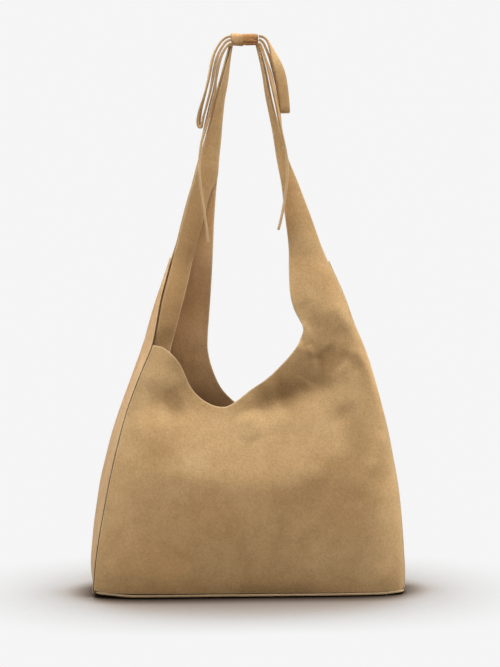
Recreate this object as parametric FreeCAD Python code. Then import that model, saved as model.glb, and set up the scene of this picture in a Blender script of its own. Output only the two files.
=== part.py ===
# Suede hobo bag with a tied shoulder strap, built as separate sewn pieces.
# Frame: millimetres, +Z up, X across the width (left is -X), the front face looks towards -Y.
# Origin: centre of the base footprint, on the floor.
import FreeCAD, Part
import math
import os

Vector = FreeCAD.Vector
LEFT, RIGHT = -1, 1

# ----------------------------------------------------------------- driving dimensions
SUEDE = 1.8            # thickness of one layer of suede
LINING = 0.7           # thickness of the lining cloth
LINING_GAP = 3.6       # lining face behind the outer face of the suede
BASE_T = 3.0           # wrapped base panel
BOARD_T = 2.0          # stiffener board above the base
BASE_GAP = 0.3         # space between stacked base layers
PANEL_BOTTOM = 3.4     # lowest edge of the front and back panels
PEAK_Z = 304.1         # height of the two mouth peaks
HINGE_Z = 411.0        # height of the line where the strap folds over
BODY_TOP = HINGE_Z - 12.0      # the body's layers stop below the fold line
STRAP_BOTTOM = HINGE_Z - 3.0   # the strap's layers start below the fold line
TIE_W = 12.0           # width of the tie ribbon
TIE_T = 2.8            # thickness of the folded tie ribbon

# ----------------------------------------------------------------- measured outlines
# Seams, each point (x, y, z), from the base corner to the top.
FRONT_LEFT_SEAM = [
    (-190.3, -34, 6.9), (-188.8, -41, 28.8), (-185.9, -46, 53.9), (-181.8, -49, 80.9),
    (-177.5, -50, 104.5), (-171.3, -50, 137.5), (-165.0, -48, 166.0), (-157.4, -45, 196.7),
    (-149.5, -41, 225.0), (-141.5, -38, 247.4), (-128.6, -33, 279.3), (-118.1, -29, 304.1),
    (-112.8, -25, 331.4), (-108.1, -20.5, 357.6), (-101.8, -13, 381.3), (-97.2, -7.5, 397.9),
    (-93.8, -4.2, 411.0)]
# Runs on into the outer edge of the left arm.
BACK_LEFT_SEAM = [
    (-191.0, 36, 3.3), (-194.0, 42, 18.0), (-194.1, 47, 41.2), (-192.5, 50, 70.7),
    (-188.6, 50, 100.7), (-184.1, 48, 130.9), (-177.1, 45.5, 161.1), (-168.3, 42, 191.3),
    (-156.4, 37, 226.5), (-145.8, 33, 256.5), (-135.3, 29, 286.3), (-128.5, 26, 306.2),
    (-122.3, 22, 326.0), (-112.5, 17, 355.6), (-105.8, 12.0, 375.3), (-99.7, 7.5, 394.9),
    (-94.9, 4.2, 411.0)]
# Runs on into the outer edge of the right arm.
FRONT_RIGHT_SEAM = [
    (186.9, -30, 3.3), (188.3, -33, 21.2), (186.5, -36, 52.3), (184.4, -37, 81.8),
    (181.8, -37, 111.1), (178.1, -36, 140.1), (172.8, -34, 169.1), (167.4, -32, 198.0),
    (159.2, -29, 231.7), (151.5, -26, 260.5), (142.9, -23, 289.3), (134.3, -21, 311.0),
    (125.9, -19, 330.3), (115.7, -15, 356.7), (107.2, -11, 375.8), (98.1, -7.0, 395.1),
    (91.2, -4.2, 411.0)]
# The front left seam turned half a turn about Z, without its top point.
BACK_RIGHT_SEAM = [(-x, -y, z) for x, y, z in FRONT_LEFT_SEAM[:-1]]

# Front mouth edge (x, z), from the left peak to the foot of the right arm.
FRONT_MOUTH = [
    (-118.1, 304.1), (-108.4, 302.4), (-98.8, 296.2), (-90.6, 287.9), (-83.8, 278.4),
    (-78.4, 265.9), (-72.9, 254.0), (-63.3, 242.7), (-53.7, 235.8), (-42.7, 231.2),
    (-32.6, 230.0), (-21.2, 234.8), (-12.2, 241.4), (1.0, 251.5), (15.5, 261.6),
    (26.3, 270.4), (36.0, 279.9), (45.9, 290.4), (53.3, 299.8), (58.9, 309.2)]
# Inner edge of the right arm (x, z), from its foot up to the end of the panel.
RIGHT_ARM_INNER = [
    (62.8, 323.4), (59.3, 331.7), (54.0, 341.3), (49.8, 352.1), (47.6, 362.9),
    (46.5, 376.0), (46.2, 392.8), (46.3, BODY_TOP)]
# Back mouth edge (x, z), down the left arm's inner edge and across to the right peak.
BACK_MOUTH = [
    (-45.0, BODY_TOP), (-45.2, 394.8), (-46.2, 375.1), (-47.3, 355.4), (-48.7, 335.7),
    (-50.2, 315.9), (-50.8, 299.7), (-49.1, 286.0), (-45.8, 273.5), (-39.6, 257.3),
    (-33.4, 245.9), (-24.7, 235.8), (-14.0, 226.8), (2.0, 220.0), (20.0, 218.0),
    (38.0, 221.5), (53.7, 230.5), (66.0, 242.7), (76.0, 258.0), (83.8, 275.4),
    (90.6, 287.9), (98.8, 296.2), (108.4, 302.4), (118.1, 304.1)]
# Free edge of the left arm's front layer (x, z), from the bottom up.
FACING_EDGE = [
    (-108.0, 246.0), (-105.3, 262.1), (-101.7, 279.4), (-97.4, 295.8), (-89.5, 325.2),
    (-80.9, 357.3), (-74.8, 381.1), (-68.4, 411.0), (-63.6, 425.4), (-58.0, 447.7),
    (-52.0, 470.3), (-46.0, 489.0), (-41.0, 500.0)]

# Strap arms: z, centre x, width, twist in degrees about the ribbon's length.
LEFT_ARM = [
    (398.0, -72.0, 54.0, 0), (411.0, -69.7, 50.3, 0), (424.0, -67.0, 46.0, 0),
    (443.4, -64.4, 42.0, 0), (462.7, -61.4, 38.2, 0), (480.8, -58.3, 34.5, 0),
    (494.0, -55.7, 31.4, 0), (508.5, -53.0, 29.2, 0), (522.9, -50.6, 26.6, 0),
    (537.0, -47.6, 23.2, 0), (551.7, -44.4, 19.3, 3), (568.5, -41.6, 16.2, 8),
    (585.3, -39.0, 13.8, 14), (599.7, -36.6, 12.6, 24), (612.0, -33.6, 12.0, 34),
    (626.0, -30.5, 12.0, 48), (640.0, -27.9, 11.4, 62), (652.0, -25.6, 9.8, 74),
    (660.8, -24.0, 8.4, 84)]
RIGHT_ARM = [
    (398.0, 72.0, 50.6, 0), (411.0, 68.8, 45.0, 0), (424.0, 66.0, 39.8, 0),
    (441.0, 61.9, 36.0, 0), (457.9, 57.8, 32.2, 0), (472.3, 54.1, 28.5, 0),
    (486.8, 50.9, 24.2, 0), (501.3, 47.1, 20.8, 0), (515.7, 42.6, 17.0, 8),
    (530.1, 38.8, 14.4, 22), (549.3, 34.9, 12.6, 34), (563.7, 31.8, 12.0, 46),
    (575.7, 28.3, 12.0, 56), (590.0, 25.0, 12.0, 64), (609.3, 20.8, 12.0, 72),
    (621.2, 19.1, 12.0, 76), (633.2, 16.8, 12.0, 79), (645.1, 14.0, 11.0, 81),
    (655.8, 11.2, 9.2, 83), (660.8, 9.9, 8.4, 84)]

# Centre lines of the bow: x, y, z, width as a share of the full ribbon.
LEFT_LOOP = [
    (-23.0, -8.5, 672.6, .27), (-26.5, -8.5, 672.0, .27), (-30.5, -8.5, 670.0, .34),
    (-34.5, -8.7, 666.6, .44), (-38.5, -9.0, 661.5, .6), (-42.4, -9.3, 654.5, .8),
    (-45.7, -9.6, 644.4, .95), (-48.1, -10, 632.5, 1), (-49.9, -10, 620.6, 1),
    (-52.3, -10, 608.7, 1), (-55.3, -10, 597.9, 1), (-58.7, -10, 588.4, 1),
    (-61.3, -10, 578.9, 1), (-63.0, -10, 570.5, 1), (-62.6, -10, 565.4, 1),
    (-60.4, -10, 564.0, 1), (-58.6, -10, 568.6, 1), (-56.8, -10, 576.5, 1),
    (-54.2, -10, 584.6, 1), (-51.5, -10, 594.9, 1), (-48.7, -10, 606.3, 1),
    (-46.1, -10, 619.4, 1), (-43.9, -10, 631.3, 1), (-41.0, -9.6, 643.2, .95),
    (-37.8, -9.2, 652.0, .7), (-34.4, -8.8, 658.6, .5), (-30.6, -8.5, 664.2, .34),
    (-26.8, -8.5, 667.6, .27), (-23.0, -8.5, 668.9, .27)]
LEFT_TAIL = [
    (-23.0, -8.5, 665.0, .27), (-26.0, -8.5, 663.8, .27), (-29.2, -8.7, 660.6, .32),
    (-32.2, -9.0, 656.0, .44), (-35.0, -9.4, 649.5, .6), (-37.4, -9.9, 641.0, .8),
    (-39.4, -10.5, 631.3, 1), (-41.6, -11, 620.5, 1), (-44.0, -11, 608.6, 1),
    (-47.0, -11, 596.7, 1), (-50.2, -11, 583.6, 1), (-53.3, -11, 570.5, 1),
    (-56.4, -11, 557.4, 1), (-59.1, -11.5, 544.2, 1), (-60.9, -12, 531.1, 1),
    (-61.4, -12.5, 517.9, 1), (-60.8, -13, 503.6, 1), (-59.0, -13.5, 488.0, 1),
    (-56.9, -14, 472.5, 1), (-54.6, -14.5, 455.7, 1), (-52.7, -15, 441.3, 1),
    (-50.8, -15, 425.7, 1)]
RIGHT_LOOP = [
    (9.8, -8.5, 673.0, .27), (13.2, -8.5, 672.4, .27), (17.2, -8.6, 670.2, .34),
    (20.8, -8.9, 665.9, .46), (24.6, -9.6, 657.2, .65), (28.4, -10.4, 648.0, .85),
    (32.0, -11.4, 639.4, 1), (36.0, -12, 630.4, 1), (39.0, -12, 620.7, 1),
    (40.7, -12, 608.8, 1), (41.7, -12, 596.8, 1), (42.0, -12, 586.6, 1),
    (41.2, -12, 580.8, 1), (39.0, -12, 580.4, 1), (37.4, -12, 585.6, 1),
    (37.0, -12, 592.5, 1), (36.0, -12, 600.5, 1), (34.0, -12, 611.4, 1),
    (31.2, -11.5, 623.3, 1), (27.4, -10.8, 634.8, .95), (23.6, -10.0, 645.4, .75),
    (20.5, -9.2, 653.8, .5), (17.5, -8.8, 660.4, .36), (14.4, -8.5, 665.6, .3),
    (11.8, -8.5, 668.6, .27), (9.8, -8.5, 669.3, .27)]
RIGHT_TAIL = [
    (9.8, -8.5, 665.2, .27), (11.8, -8.5, 663.4, .27), (13.6, -8.8, 659.2, .32),
    (15.7, -9.2, 653.4, .44), (18.0, -9.8, 646.2, .62), (20.4, -10.8, 638.0, .85),
    (22.2, -12, 629.0, 1), (24.2, -13, 617.0, 1), (26.4, -13.5, 603.9, 1),
    (29.0, -14, 590.8, 1), (31.7, -14, 577.7, 1), (34.6, -14, 564.6, 1),
    (37.9, -14, 551.4, 1), (41.0, -14, 539.5, 1), (43.4, -14, 527.5, 1),
    (44.2, -14, 513.2, 1), (43.5, -14, 497.6, 1), (41.8, -14, 483.2, 1),
    (39.6, -14.5, 468.8, 1), (36.7, -15, 454.5, 1), (33.3, -15, 441.3, 1)]


# ----------------------------------------------------------------- curve helpers
def clamp(value, low, high):
    return max(low, min(high, value))


def span(start, end, count):
    """Evenly spaced values, both ends included."""
    return [start + (end - start) * i / (count - 1) for i in range(count)]


def monotone(xs, ys):
    """Monotone cubic through the points, straight beyond both ends."""
    last = len(xs) - 1
    steps = [xs[i + 1] - xs[i] for i in range(last)]
    chords = [(ys[i + 1] - ys[i]) / steps[i] for i in range(last)]
    slopes = [chords[0]] + [0.0] * (last - 1) + [chords[-1]]
    for i in range(1, last):
        if chords[i - 1] * chords[i] > 0:
            before = 2 * steps[i] + steps[i - 1]
            after = steps[i] + 2 * steps[i - 1]
            slopes[i] = (before + after) / (before / chords[i - 1] + after / chords[i])

    def curve(x):
        if x <= xs[0]:
            return ys[0] + slopes[0] * (x - xs[0])
        if x >= xs[-1]:
            return ys[-1] + slopes[-1] * (x - xs[-1])
        i = max(k for k in range(last) if xs[k] <= x)
        t = (x - xs[i]) / steps[i]
        return (ys[i] * (1 + 2 * t) * (1 - t) ** 2
                + steps[i] * slopes[i] * t * (1 - t) ** 2
                + ys[i + 1] * t * t * (3 - 2 * t)
                + steps[i] * slopes[i + 1] * t * t * (t - 1))
    return curve


def seam_curves(seam):
    """The seam's x and y as functions of z."""
    zs = [point[2] for point in seam]
    return tuple(monotone(zs, [point[axis] for point in seam]) for axis in (0, 1))


front_left_x, front_left_y = seam_curves(FRONT_LEFT_SEAM)
front_right_x, front_right_y = seam_curves(FRONT_RIGHT_SEAM)
back_left_x, back_left_y = seam_curves(BACK_LEFT_SEAM)
back_right_x, back_right_y = seam_curves(BACK_RIGHT_SEAM)

# How far a panel bulges out at mid width, and how square its section is, by height.
bulge = monotone([0, 20, 60, 100, 140, 170, 200, 230, 260, 304, 340, 411],
                 [19, 18, 17, 19, 19, 15, 8, 1, -1, 0, 2.5, 0.5])
squareness = monotone([0, 40, 100, 200, 411], [6, 4.5, 3, 2.6, 2.2])


def bulged_y(x, z, left_x, left_y, right_x, right_y, outward):
    """Height field in y between two seams, bulging along outward (-1 or 1)."""
    across = clamp((2 * x - left_x - right_x) / (right_x - left_x), -1, 1)
    y = left_y + (right_y - left_y) * (across + 1) / 2
    return y + outward * bulge(z) * (1 - abs(across) ** squareness(z))


def front_y(x, z):
    """Outer face of the front panel."""
    return bulged_y(x, z, front_left_x(z), front_left_y(z),
                    front_right_x(z), front_right_y(z), -1)


def back_y(x, z):
    """Outer face of the back panel."""
    return bulged_y(x, z, back_left_x(z), back_left_y(z),
                    back_right_x(z), back_right_y(z), 1)


def side_x(side, y, z):
    """Outer face of a gusset: from the front seam to the back seam, slightly swollen."""
    if side == LEFT:
        x0, y0, x1, y1 = front_left_x(z), front_left_y(z), back_left_x(z), back_left_y(z)
        swell = 3.0
    else:
        x0, y0, x1, y1 = front_right_x(z), front_right_y(z), back_right_x(z), back_right_y(z)
        swell = 1.0
    t = clamp((y - y0) / max(y1 - y0, 1e-6), -0.3, 1.3)
    return x0 + (x1 - x0) * t + side * swell * clamp(4 * t * (1 - t), 0, 1)


def seam_edge(seam, x_at, z0, z1):
    """Seam points (x, z) from z0 up to z1, leaving out table rows too near the ends."""
    zs = [z0] + [z for _, _, z in seam if z0 + 4 < z < z1 - 4] + [z1]
    return [(x_at(z), z) for z in zs]


# ----------------------------------------------------------------- solid helpers
def grid_face(point_at, us, vs):
    """B-spline face through the points point_at(u, v)."""
    surface = Part.BSplineSurface()
    surface.interpolate([[point_at(u, v) for v in vs] for u in us])
    return surface.toShape()


def spline(points):
    curve = Part.BSplineCurve()
    curve.interpolate(points)
    return curve.toShape()


def prism(runs, place, travel):
    """Extrude a closed outline given as smooth runs; a run of two points is a line."""
    edges = []
    for run in runs:
        points = [place(*point) for point in run]
        edges.append(Part.makeLine(*points) if len(points) == 2 else spline(points))
    return Part.Face(Part.Wire(edges)).extrude(travel)


def prism_y(runs):
    """Prism along Y, through the whole bag, from an outline in XZ."""
    return prism(runs, lambda x, z: Vector(x, -130, z), Vector(0, 260, 0))


def prism_x(runs):
    """Prism along X, through the whole bag, from an outline in YZ."""
    return prism(runs, lambda y, z: Vector(-260, y, z), Vector(520, 0, 0))


def panel_layer(face_y, offset, thick, outline):
    """A layer that follows a panel's outer face, offset along +Y, cut to the outline."""
    face = grid_face(lambda x, z: Vector(x, face_y(x, z) + offset, z),
                     span(-205, 205, 42), span(-12, 420, 44))
    return face.extrude(Vector(0, thick, 0)).common(prism_y(outline))


def box(x0, x1, y0, y1, z0, z1):
    return Part.makeBox(x1 - x0, y1 - y0, z1 - z0, Vector(x0, y0, z0))


def arc_lengths(points):
    """Running chord length at each point."""
    lengths = [0.0]
    for before, after in zip(points, points[1:]):
        lengths.append(lengths[-1] + (after - before).Length)
    return lengths


def ribbon(rows, thick):
    """A flat ribbon. rows: (centre, width direction, normal direction, half width)."""
    lengths = arc_lengths([row[0] for row in rows])
    corners = []
    for a, b in ((-1, -1), (1, -1), (1, 1), (-1, 1)):
        curve = Part.BSplineCurve()
        curve.interpolate(
            Points=[centre + across * (a * half) + normal * (b * thick / 2)
                    for centre, across, normal, half in rows],
            Parameters=lengths)
        corners.append(curve)
    faces = []
    for k in range(4):
        first, second = corners[k], corners[(k + 1) % 4]
        ruled = Part.BSplineSurface()
        ruled.buildFromPolesMultsKnots(
            [first.getPoles(), second.getPoles()], [2, 2], first.getMultiplicities(),
            [0.0, 1.0], first.getKnots(), False, False, 1, first.Degree)
        faces.append(ruled.toShape())
    for end in (0, -1):
        cap = [curve.getPoles()[end] for curve in corners]
        faces.append(Part.Face(Part.makePolygon(cap + [cap[0]])))
    shell = Part.makeShell(faces)
    shell.sewShape()
    solid = Part.makeSolid(shell)
    if solid.Volume < 0:
        solid.reverse()
    return solid


def export(name, shape):
    """Drop slivers left by the booleans and write one STEP file."""
    solids = [solid for solid in shape.Solids if solid.Volume > 1.0]
    shape = solids[0] if len(solids) == 1 else Part.makeCompound(solids)
    if not shape.isValid():
        shape.fix(1e-4, 1e-4, 1e-3)
    shape.exportStep("parts/%s.step" % name)


# ----------------------------------------------------------------- body panels
def front_panel():
    """Front panel, with the outer layer of the right arm."""
    left = seam_edge(FRONT_LEFT_SEAM, front_left_x, 7.4, PEAK_Z)[::-1]
    right = seam_edge(FRONT_RIGHT_SEAM, front_right_x, 4.0, BODY_TOP)
    base = [left[-1], (-182, PANEL_BOTTOM + 1.2), (-168, PANEL_BOTTOM + 0.1),
            (-90, PANEL_BOTTOM), (0, PANEL_BOTTOM), (90, PANEL_BOTTOM), (165, PANEL_BOTTOM),
            (178, PANEL_BOTTOM + 0.2), right[0]]
    inner = RIGHT_ARM_INNER[::-1]
    mouth = [inner[-1]] + FRONT_MOUTH[::-1]
    outline = [base, right, [right[-1], inner[0]], inner, mouth, left]
    return panel_layer(front_y, 0.0, SUEDE, outline)


def back_panel():
    """Back panel, with the outer layer of the left arm."""
    left = seam_edge(BACK_LEFT_SEAM, back_left_x, 5.0, BODY_TOP)[::-1]
    right = seam_edge(BACK_RIGHT_SEAM, back_right_x, 7.4, PEAK_Z)
    base = [left[-1], (-182, PANEL_BOTTOM + 0.6), (-168, PANEL_BOTTOM),
            (-90, PANEL_BOTTOM), (0, PANEL_BOTTOM), (90, PANEL_BOTTOM),
            (168, PANEL_BOTTOM + 0.1), (182, PANEL_BOTTOM + 1.2), right[0]]
    mouth = BACK_MOUTH[::-1]
    outline = [base, right, mouth, [mouth[-1], left[0]], left]
    return panel_layer(back_y, -SUEDE, SUEDE, outline)


def gusset(side, top, bottom=4.6, inset=0.0, depth=0.3, thick=SUEDE):
    """Side layer between the panels, its outer face depth inside the bag's side."""
    front_seam, back_seam = ((front_left_y, back_left_y) if side == LEFT
                             else (front_right_y, back_right_y))
    margin = SUEDE + 0.5 + inset
    zs = span(bottom, top, 22)
    front = [(front_seam(z) + margin, z) for z in zs]
    back = [(back_seam(z) - margin, z) for z in reversed(zs)]
    outline = prism_x([front, [front[-1], back[0]], back, [back[-1], front[0]]])
    face = grid_face(lambda y, z: Vector(side_x(side, y, z) - side * depth, y, z),
                     span(-62, 62, 26), span(-6, 412, 40))
    return face.extrude(Vector(-side * thick, 0, 0)).common(outline)


# ----------------------------------------------------------------- inner layers of the arms
FACING_BOTTOM = 250.0
FACING_DEPTH = 4.4      # behind the front left seam, fading out above the mouth peak
FACING_BOW = 2.0        # swell across the layer, fading out towards its top

facing_edge_x = monotone([z for x, z in FACING_EDGE], [x for x, z in FACING_EDGE])


def facing_y(x, z):
    """Front face of the left arm's inner layer."""
    seam_x = front_left_x(z)
    across = clamp((x - seam_x) / max(facing_edge_x(z) - seam_x, 1e-6), 0, 1)
    y = front_left_y(z) + FACING_DEPTH * (1 - clamp((z - 304) / 90.0, 0, 1))
    return y + FACING_BOW * math.sin(math.pi * across) * clamp((400 - z) / 60.0, 0, 1)


def arm_facing(side):
    """The layer that closes an arm from inside; the right one is the left turned about Z."""
    zs = span(FACING_BOTTOM, BODY_TOP, 14)
    seam = [(-side * (front_left_x(z) + 3.0), z) for z in zs]
    free = [(-side * facing_edge_x(z), z) for z in reversed(zs)]
    if side == LEFT:
        face_y = facing_y
        xs = span(-190, -30, 30)
    else:
        face_y = lambda x, z: -facing_y(-x, z) - SUEDE
        xs = span(30, 190, 30)
    outline = prism_y([seam, [seam[-1], free[0]], free, [free[-1], seam[0]]])
    face = grid_face(lambda x, z: Vector(x, face_y(x, z), z), xs,
                     span(FACING_BOTTOM - 8, BODY_TOP + 8, 24))
    return face.extrude(Vector(0, SUEDE, 0)).common(outline)


# ----------------------------------------------------------------- base
BASE_CORNER_R = 12.0


def base_plate(inset, z0, thick):
    """Flat plate that follows the front panel's foot, mirrored to the back."""
    xs = [front_left_x(7) + 6, -176, -166, -150, -120, -60, 0, 60, 120, 148, 164, 174,
          front_right_x(4) - 6]
    front = [Vector(clamp(x, -182 + inset, 180 - inset), front_y(x, PANEL_BOTTOM) + inset, z0)
             for x in xs]
    back = [Vector(p.x, -p.y, z0) for p in reversed(front)]
    edges = [spline(front), Part.makeLine(front[-1], back[0]),
             spline(back), Part.makeLine(back[-1], front[0])]
    plate = Part.Face(Part.Wire(edges)).extrude(Vector(0, 0, thick))
    # The corners stay square where the inset outline is too tight for the fillet.
    try:
        upright = [edge for edge in plate.Edges
                   if abs(edge.Vertexes[0].Z - edge.Vertexes[-1].Z) > thick * 0.9]
        plate = plate.makeFillet(BASE_CORNER_R, upright)
    except Exception:
        pass
    return plate


# ----------------------------------------------------------------- lining
LINING_BOTTOM = BASE_T + BOARD_T + 3.6
LINING_TOP = 226.0         # at the side edges of the front and back lining
SIDE_LINING_TOP = 222.0
LINING_INSET = 9.0         # from the seams
# Top edges between the side edges (x, z), from right to left.
FRONT_LINING_EDGE = [(120, 226), (70, 222), (20, 216), (-25, 214), (-70, 216), (-110, 222)]
BACK_LINING_EDGE = [(120, 222), (80, 214), (30, 206), (-10, 208), (-50, 216), (-110, 224)]


def panel_lining(face_y, offset, left_x, right_x, top_edge):
    zs = span(LINING_BOTTOM, LINING_TOP, 10)
    left = [(left_x(z) + LINING_INSET, z) for z in reversed(zs)]
    right = [(right_x(z) - LINING_INSET, z) for z in zs]
    top = [(right[-1][0], LINING_TOP)] + top_edge + [(left[0][0], LINING_TOP)]
    return panel_layer(face_y, offset, LINING, [[left[-1], right[0]], right, top, left])


def side_lining(side):
    return gusset(side, top=SIDE_LINING_TOP, bottom=LINING_BOTTOM, inset=4.6,
                  depth=LINING_GAP, thick=LINING)


# ----------------------------------------------------------------- magnetic snap
# Snap parts are drawn about +Z, which looks into the bag; z = 0 is the panel's outer face.
SNAP_R = 9.0
SNAP_X, SNAP_FRONT_Z, SNAP_BACK_Z = -4.0, 205.0, 199.0
SNAP_DEPTH = LINING_GAP + LINING + 0.45    # just clear of the lining's inner face
WASHER_DEPTH = SUEDE + 0.55                # just clear of the suede's inner face


def on_panel(shape, face_y, z, inward):
    """Place a snap part on a panel; inward is the y sign that points into the bag."""
    slope_x = (face_y(SNAP_X + 1, z) - face_y(SNAP_X - 1, z)) / 2
    slope_z = (face_y(SNAP_X, z + 1) - face_y(SNAP_X, z - 1)) / 2
    normal = Vector(-slope_x, 1, -slope_z)
    normal.normalize()
    placed = shape.copy()
    placed.Placement = FreeCAD.Placement(
        Vector(SNAP_X, face_y(SNAP_X, z), z),
        FreeCAD.Rotation(Vector(0, 0, 1), normal * inward))
    return placed


def snap_socket():
    """Disc with a blind hole and a groove round its rim."""
    height = 2.6
    disc = Part.makeCylinder(SNAP_R, height, Vector(0, 0, SNAP_DEPTH))
    disc = disc.cut(Part.makeCylinder(3.2, 1.6, Vector(0, 0, SNAP_DEPTH + 1.2)))
    return disc.cut(Part.makeTorus(SNAP_R + 0.2, 0.7, Vector(0, 0, SNAP_DEPTH + height)))


def snap_stud():
    disc = Part.makeCylinder(SNAP_R, 1.8, Vector(0, 0, SNAP_DEPTH))
    boss = Part.makeCylinder(2.9, 1.4, Vector(0, 0, SNAP_DEPTH + 1.7))
    return disc.fuse(boss).removeSplitter()


def snap_washer():
    """Disc with two slots, between the suede and the lining."""
    washer = Part.makeCylinder(8.0, 0.6, Vector(0, 0, WASHER_DEPTH))
    for slot_x in (-4.6, 3.4):
        washer = washer.cut(Part.makeBox(1.2, 4, 3, Vector(slot_x, -2, SUEDE)))
    return washer


# ----------------------------------------------------------------- zipped inner pocket
ZIP_LEN = 170.0
ZIP_Z = 168.0              # height of the zip's centre line
ZIP_X0, ZIP_X1 = -ZIP_LEN / 2, ZIP_LEN / 2
COIL_H, COIL_T, COIL_GAP = 2.0, 1.6, 1.3
TAPE_H, TAPE_T = 9.0, 0.5
TAPE_START = COIL_GAP / 2 + COIL_H + 0.05  # tape edge from the centre line
POCKET_DROP = 100.0        # pocket bottom below the centre line
# The zip's plane stands clear of the back lining's nearest point.
ZIP_Y = min(back_y(x, z) for x in span(ZIP_X0 - 8, ZIP_X1 + 8, 9)
            for z in (ZIP_Z - 96, ZIP_Z, ZIP_Z + 10)) - LINING_GAP - LINING - 4.6
COIL_FRONT, COIL_BACK = ZIP_Y - COIL_T / 2, ZIP_Y + COIL_T / 2
SLIDER_X, SLIDER_LEN = ZIP_X0 + 8.0, 11.0
PIN_R, PIN_Y, PIN_HALF = 0.8, COIL_FRONT - 3.4, 3.1


def zip_strip(up, overhang, thick, start, height):
    """Strip along the zip, start away from the centre line; up is 1 above, -1 below."""
    z0, z1 = sorted((ZIP_Z + up * start, ZIP_Z + up * (start + height)))
    return box(ZIP_X0 - overhang, ZIP_X1 + overhang, ZIP_Y - thick / 2, ZIP_Y + thick / 2,
               z0, z1)


def zip_coil(up):
    return zip_strip(up, 0, COIL_T, COIL_GAP / 2, COIL_H)


def zip_tape(up):
    return zip_strip(up, 6, TAPE_T, TAPE_START, TAPE_H)


def zip_end_stops():
    return Part.makeCompound([
        box(x0, x0 + 2.8, ZIP_Y - 1.0, ZIP_Y + 1.0, ZIP_Z - 2.4, ZIP_Z + 2.4)
        for x0 in (ZIP_X0 - 3.2, ZIP_X1 + 0.4)])


def pocket_bag():
    """Two layers joined along the bottom and sides, open along the zip."""
    top = ZIP_Z - TAPE_START - TAPE_H * 0.35
    bottom = ZIP_Z - POCKET_DROP
    outside = box(ZIP_X0 - 8, ZIP_X1 + 8, ZIP_Y + 0.45, ZIP_Y + 4.2, bottom, top)
    inside = box(ZIP_X0 - 7, ZIP_X1 + 7, ZIP_Y + 1.25, ZIP_Y + 3.4, bottom + 1, top + 5)
    return outside.cut(inside)


def zip_slider():
    """Two plates joined by a post between the coils, with a pin held by two lugs."""
    x0, x1 = SLIDER_X - SLIDER_LEN / 2, SLIDER_X + SLIDER_LEN / 2
    z0, z1 = ZIP_Z - 4.2, ZIP_Z + 4.2
    post_half = COIL_GAP / 2 - 0.15
    front = box(x0, x1, COIL_FRONT - 1.2, COIL_FRONT - 0.15, z0, z1)
    back = box(x0, x1, COIL_BACK + 0.15, COIL_BACK + 0.75, z0, z1)
    post = box(x0 + 1, x0 + 5, COIL_FRONT - 0.2, COIL_BACK + 0.2,
               ZIP_Z - post_half, ZIP_Z + post_half)
    slider = front.fuse(post).fuse(back)
    for lug_z in (ZIP_Z - PIN_HALF, ZIP_Z + PIN_HALF - 1.2):
        slider = slider.fuse(box(SLIDER_X - 1.6, SLIDER_X + 1.6,
                                 PIN_Y - 1.1, COIL_FRONT - 1.15, lug_z, lug_z + 1.2))
    pin = Part.makeCylinder(PIN_R, 2 * PIN_HALF, Vector(SLIDER_X, PIN_Y, ZIP_Z - PIN_HALF))
    return slider.fuse(pin).removeSplitter()


def zip_pull():
    """A strip with an eye around the slider's pin, lying along the zip towards -X."""
    half_h, half_t = 1.7, 0.7
    end_x = SLIDER_X - 24
    eye = Part.makeCylinder(2.0, 2 * half_h, Vector(SLIDER_X, PIN_Y, ZIP_Z - half_h))
    strip = box(end_x, SLIDER_X - 0.2, PIN_Y - half_t, PIN_Y + half_t,
                ZIP_Z - half_h, ZIP_Z + half_h)
    disc = Part.makeCylinder(3.2, 2 * half_t, Vector(end_x, PIN_Y + half_t, ZIP_Z),
                             Vector(0, -1, 0))
    hole = Part.makeCylinder(PIN_R + 0.06, 8, Vector(SLIDER_X, PIN_Y, ZIP_Z - 4))
    return eye.fuse(strip).fuse(disc).cut(hole).removeSplitter()


# ----------------------------------------------------------------- strap above the fold line
def half_gap(z):
    """Half the space between an arm's two layers: open at the fold, nearly closed above."""
    return 0.2 + 2.2 * clamp((500 - z) / 90.0, 0, 1) ** 1.2


def arm_layer(arm, twist_sign, layer):
    """One layer of an arm, flat low down and edge-on at the knot; layer 1 back, -1 front."""
    rows = []
    for i, (z, x, width, twist) in enumerate(arm):
        below, above = arm[max(i - 1, 0)], arm[min(i + 1, len(arm) - 1)]
        along = Vector(above[1] - below[1], 0, above[0] - below[0])
        along.normalize()
        angle = math.radians(twist) * twist_sign
        flat = Vector(along.z, 0, -along.x)
        across = flat * math.cos(angle) + Vector(0, 1, 0) * math.sin(angle)
        normal = along.cross(across)
        centre = Vector(x, 0, z) + normal * ((half_gap(z) + SUEDE / 2) * layer)
        rows.append((centre, across, normal, width / 2))
    below_strap = box(-150, 150, -40, 40, STRAP_BOTTOM - 40, STRAP_BOTTOM)
    return ribbon(rows, SUEDE).cut(below_strap)


def trim_facing(layer, side, top_x):
    """Cut an arm's inner layer back from the arm's inner edge, along its free edge."""
    z0, z1 = 404.0, 508.0
    free = [(-side * x, z) for x, z in FACING_EDGE if z > HINGE_Z]
    outline = ([(side * 68.9, z0)] + free
               + [(side * top_x, z1), (-side * 10, z1), (-side * 10, z0)])
    points = [Vector(x, -30, z) for x, z in outline]
    tool = Part.Face(Part.makePolygon(points + [points[0]])).extrude(Vector(0, 60, 0))
    return layer.cut(tool)


# ----------------------------------------------------------------- knot and bow
KNOT_X0, KNOT_X1, KNOT_Z0, KNOT_Z1 = -22.3, 9.0, 662.0, 677.6
KNOT_Y = -3.0              # the knot's centre in y
KNOT_HALF_D = 13.0 / 2     # half depth, front to back
KNOT_Z = (KNOT_Z0 + KNOT_Z1) / 2
KNOT_HALF_H = (KNOT_Z1 - KNOT_Z0) / 2
CORE_HALF_D, CORE_HALF_H = KNOT_HALF_D - 2.7, KNOT_HALF_H - 2.8
OVAL_POWER = 2.8           # superellipse exponent of the knot's section
BOW_STEP = 3.2             # spacing of the sections along a bow strand


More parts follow.
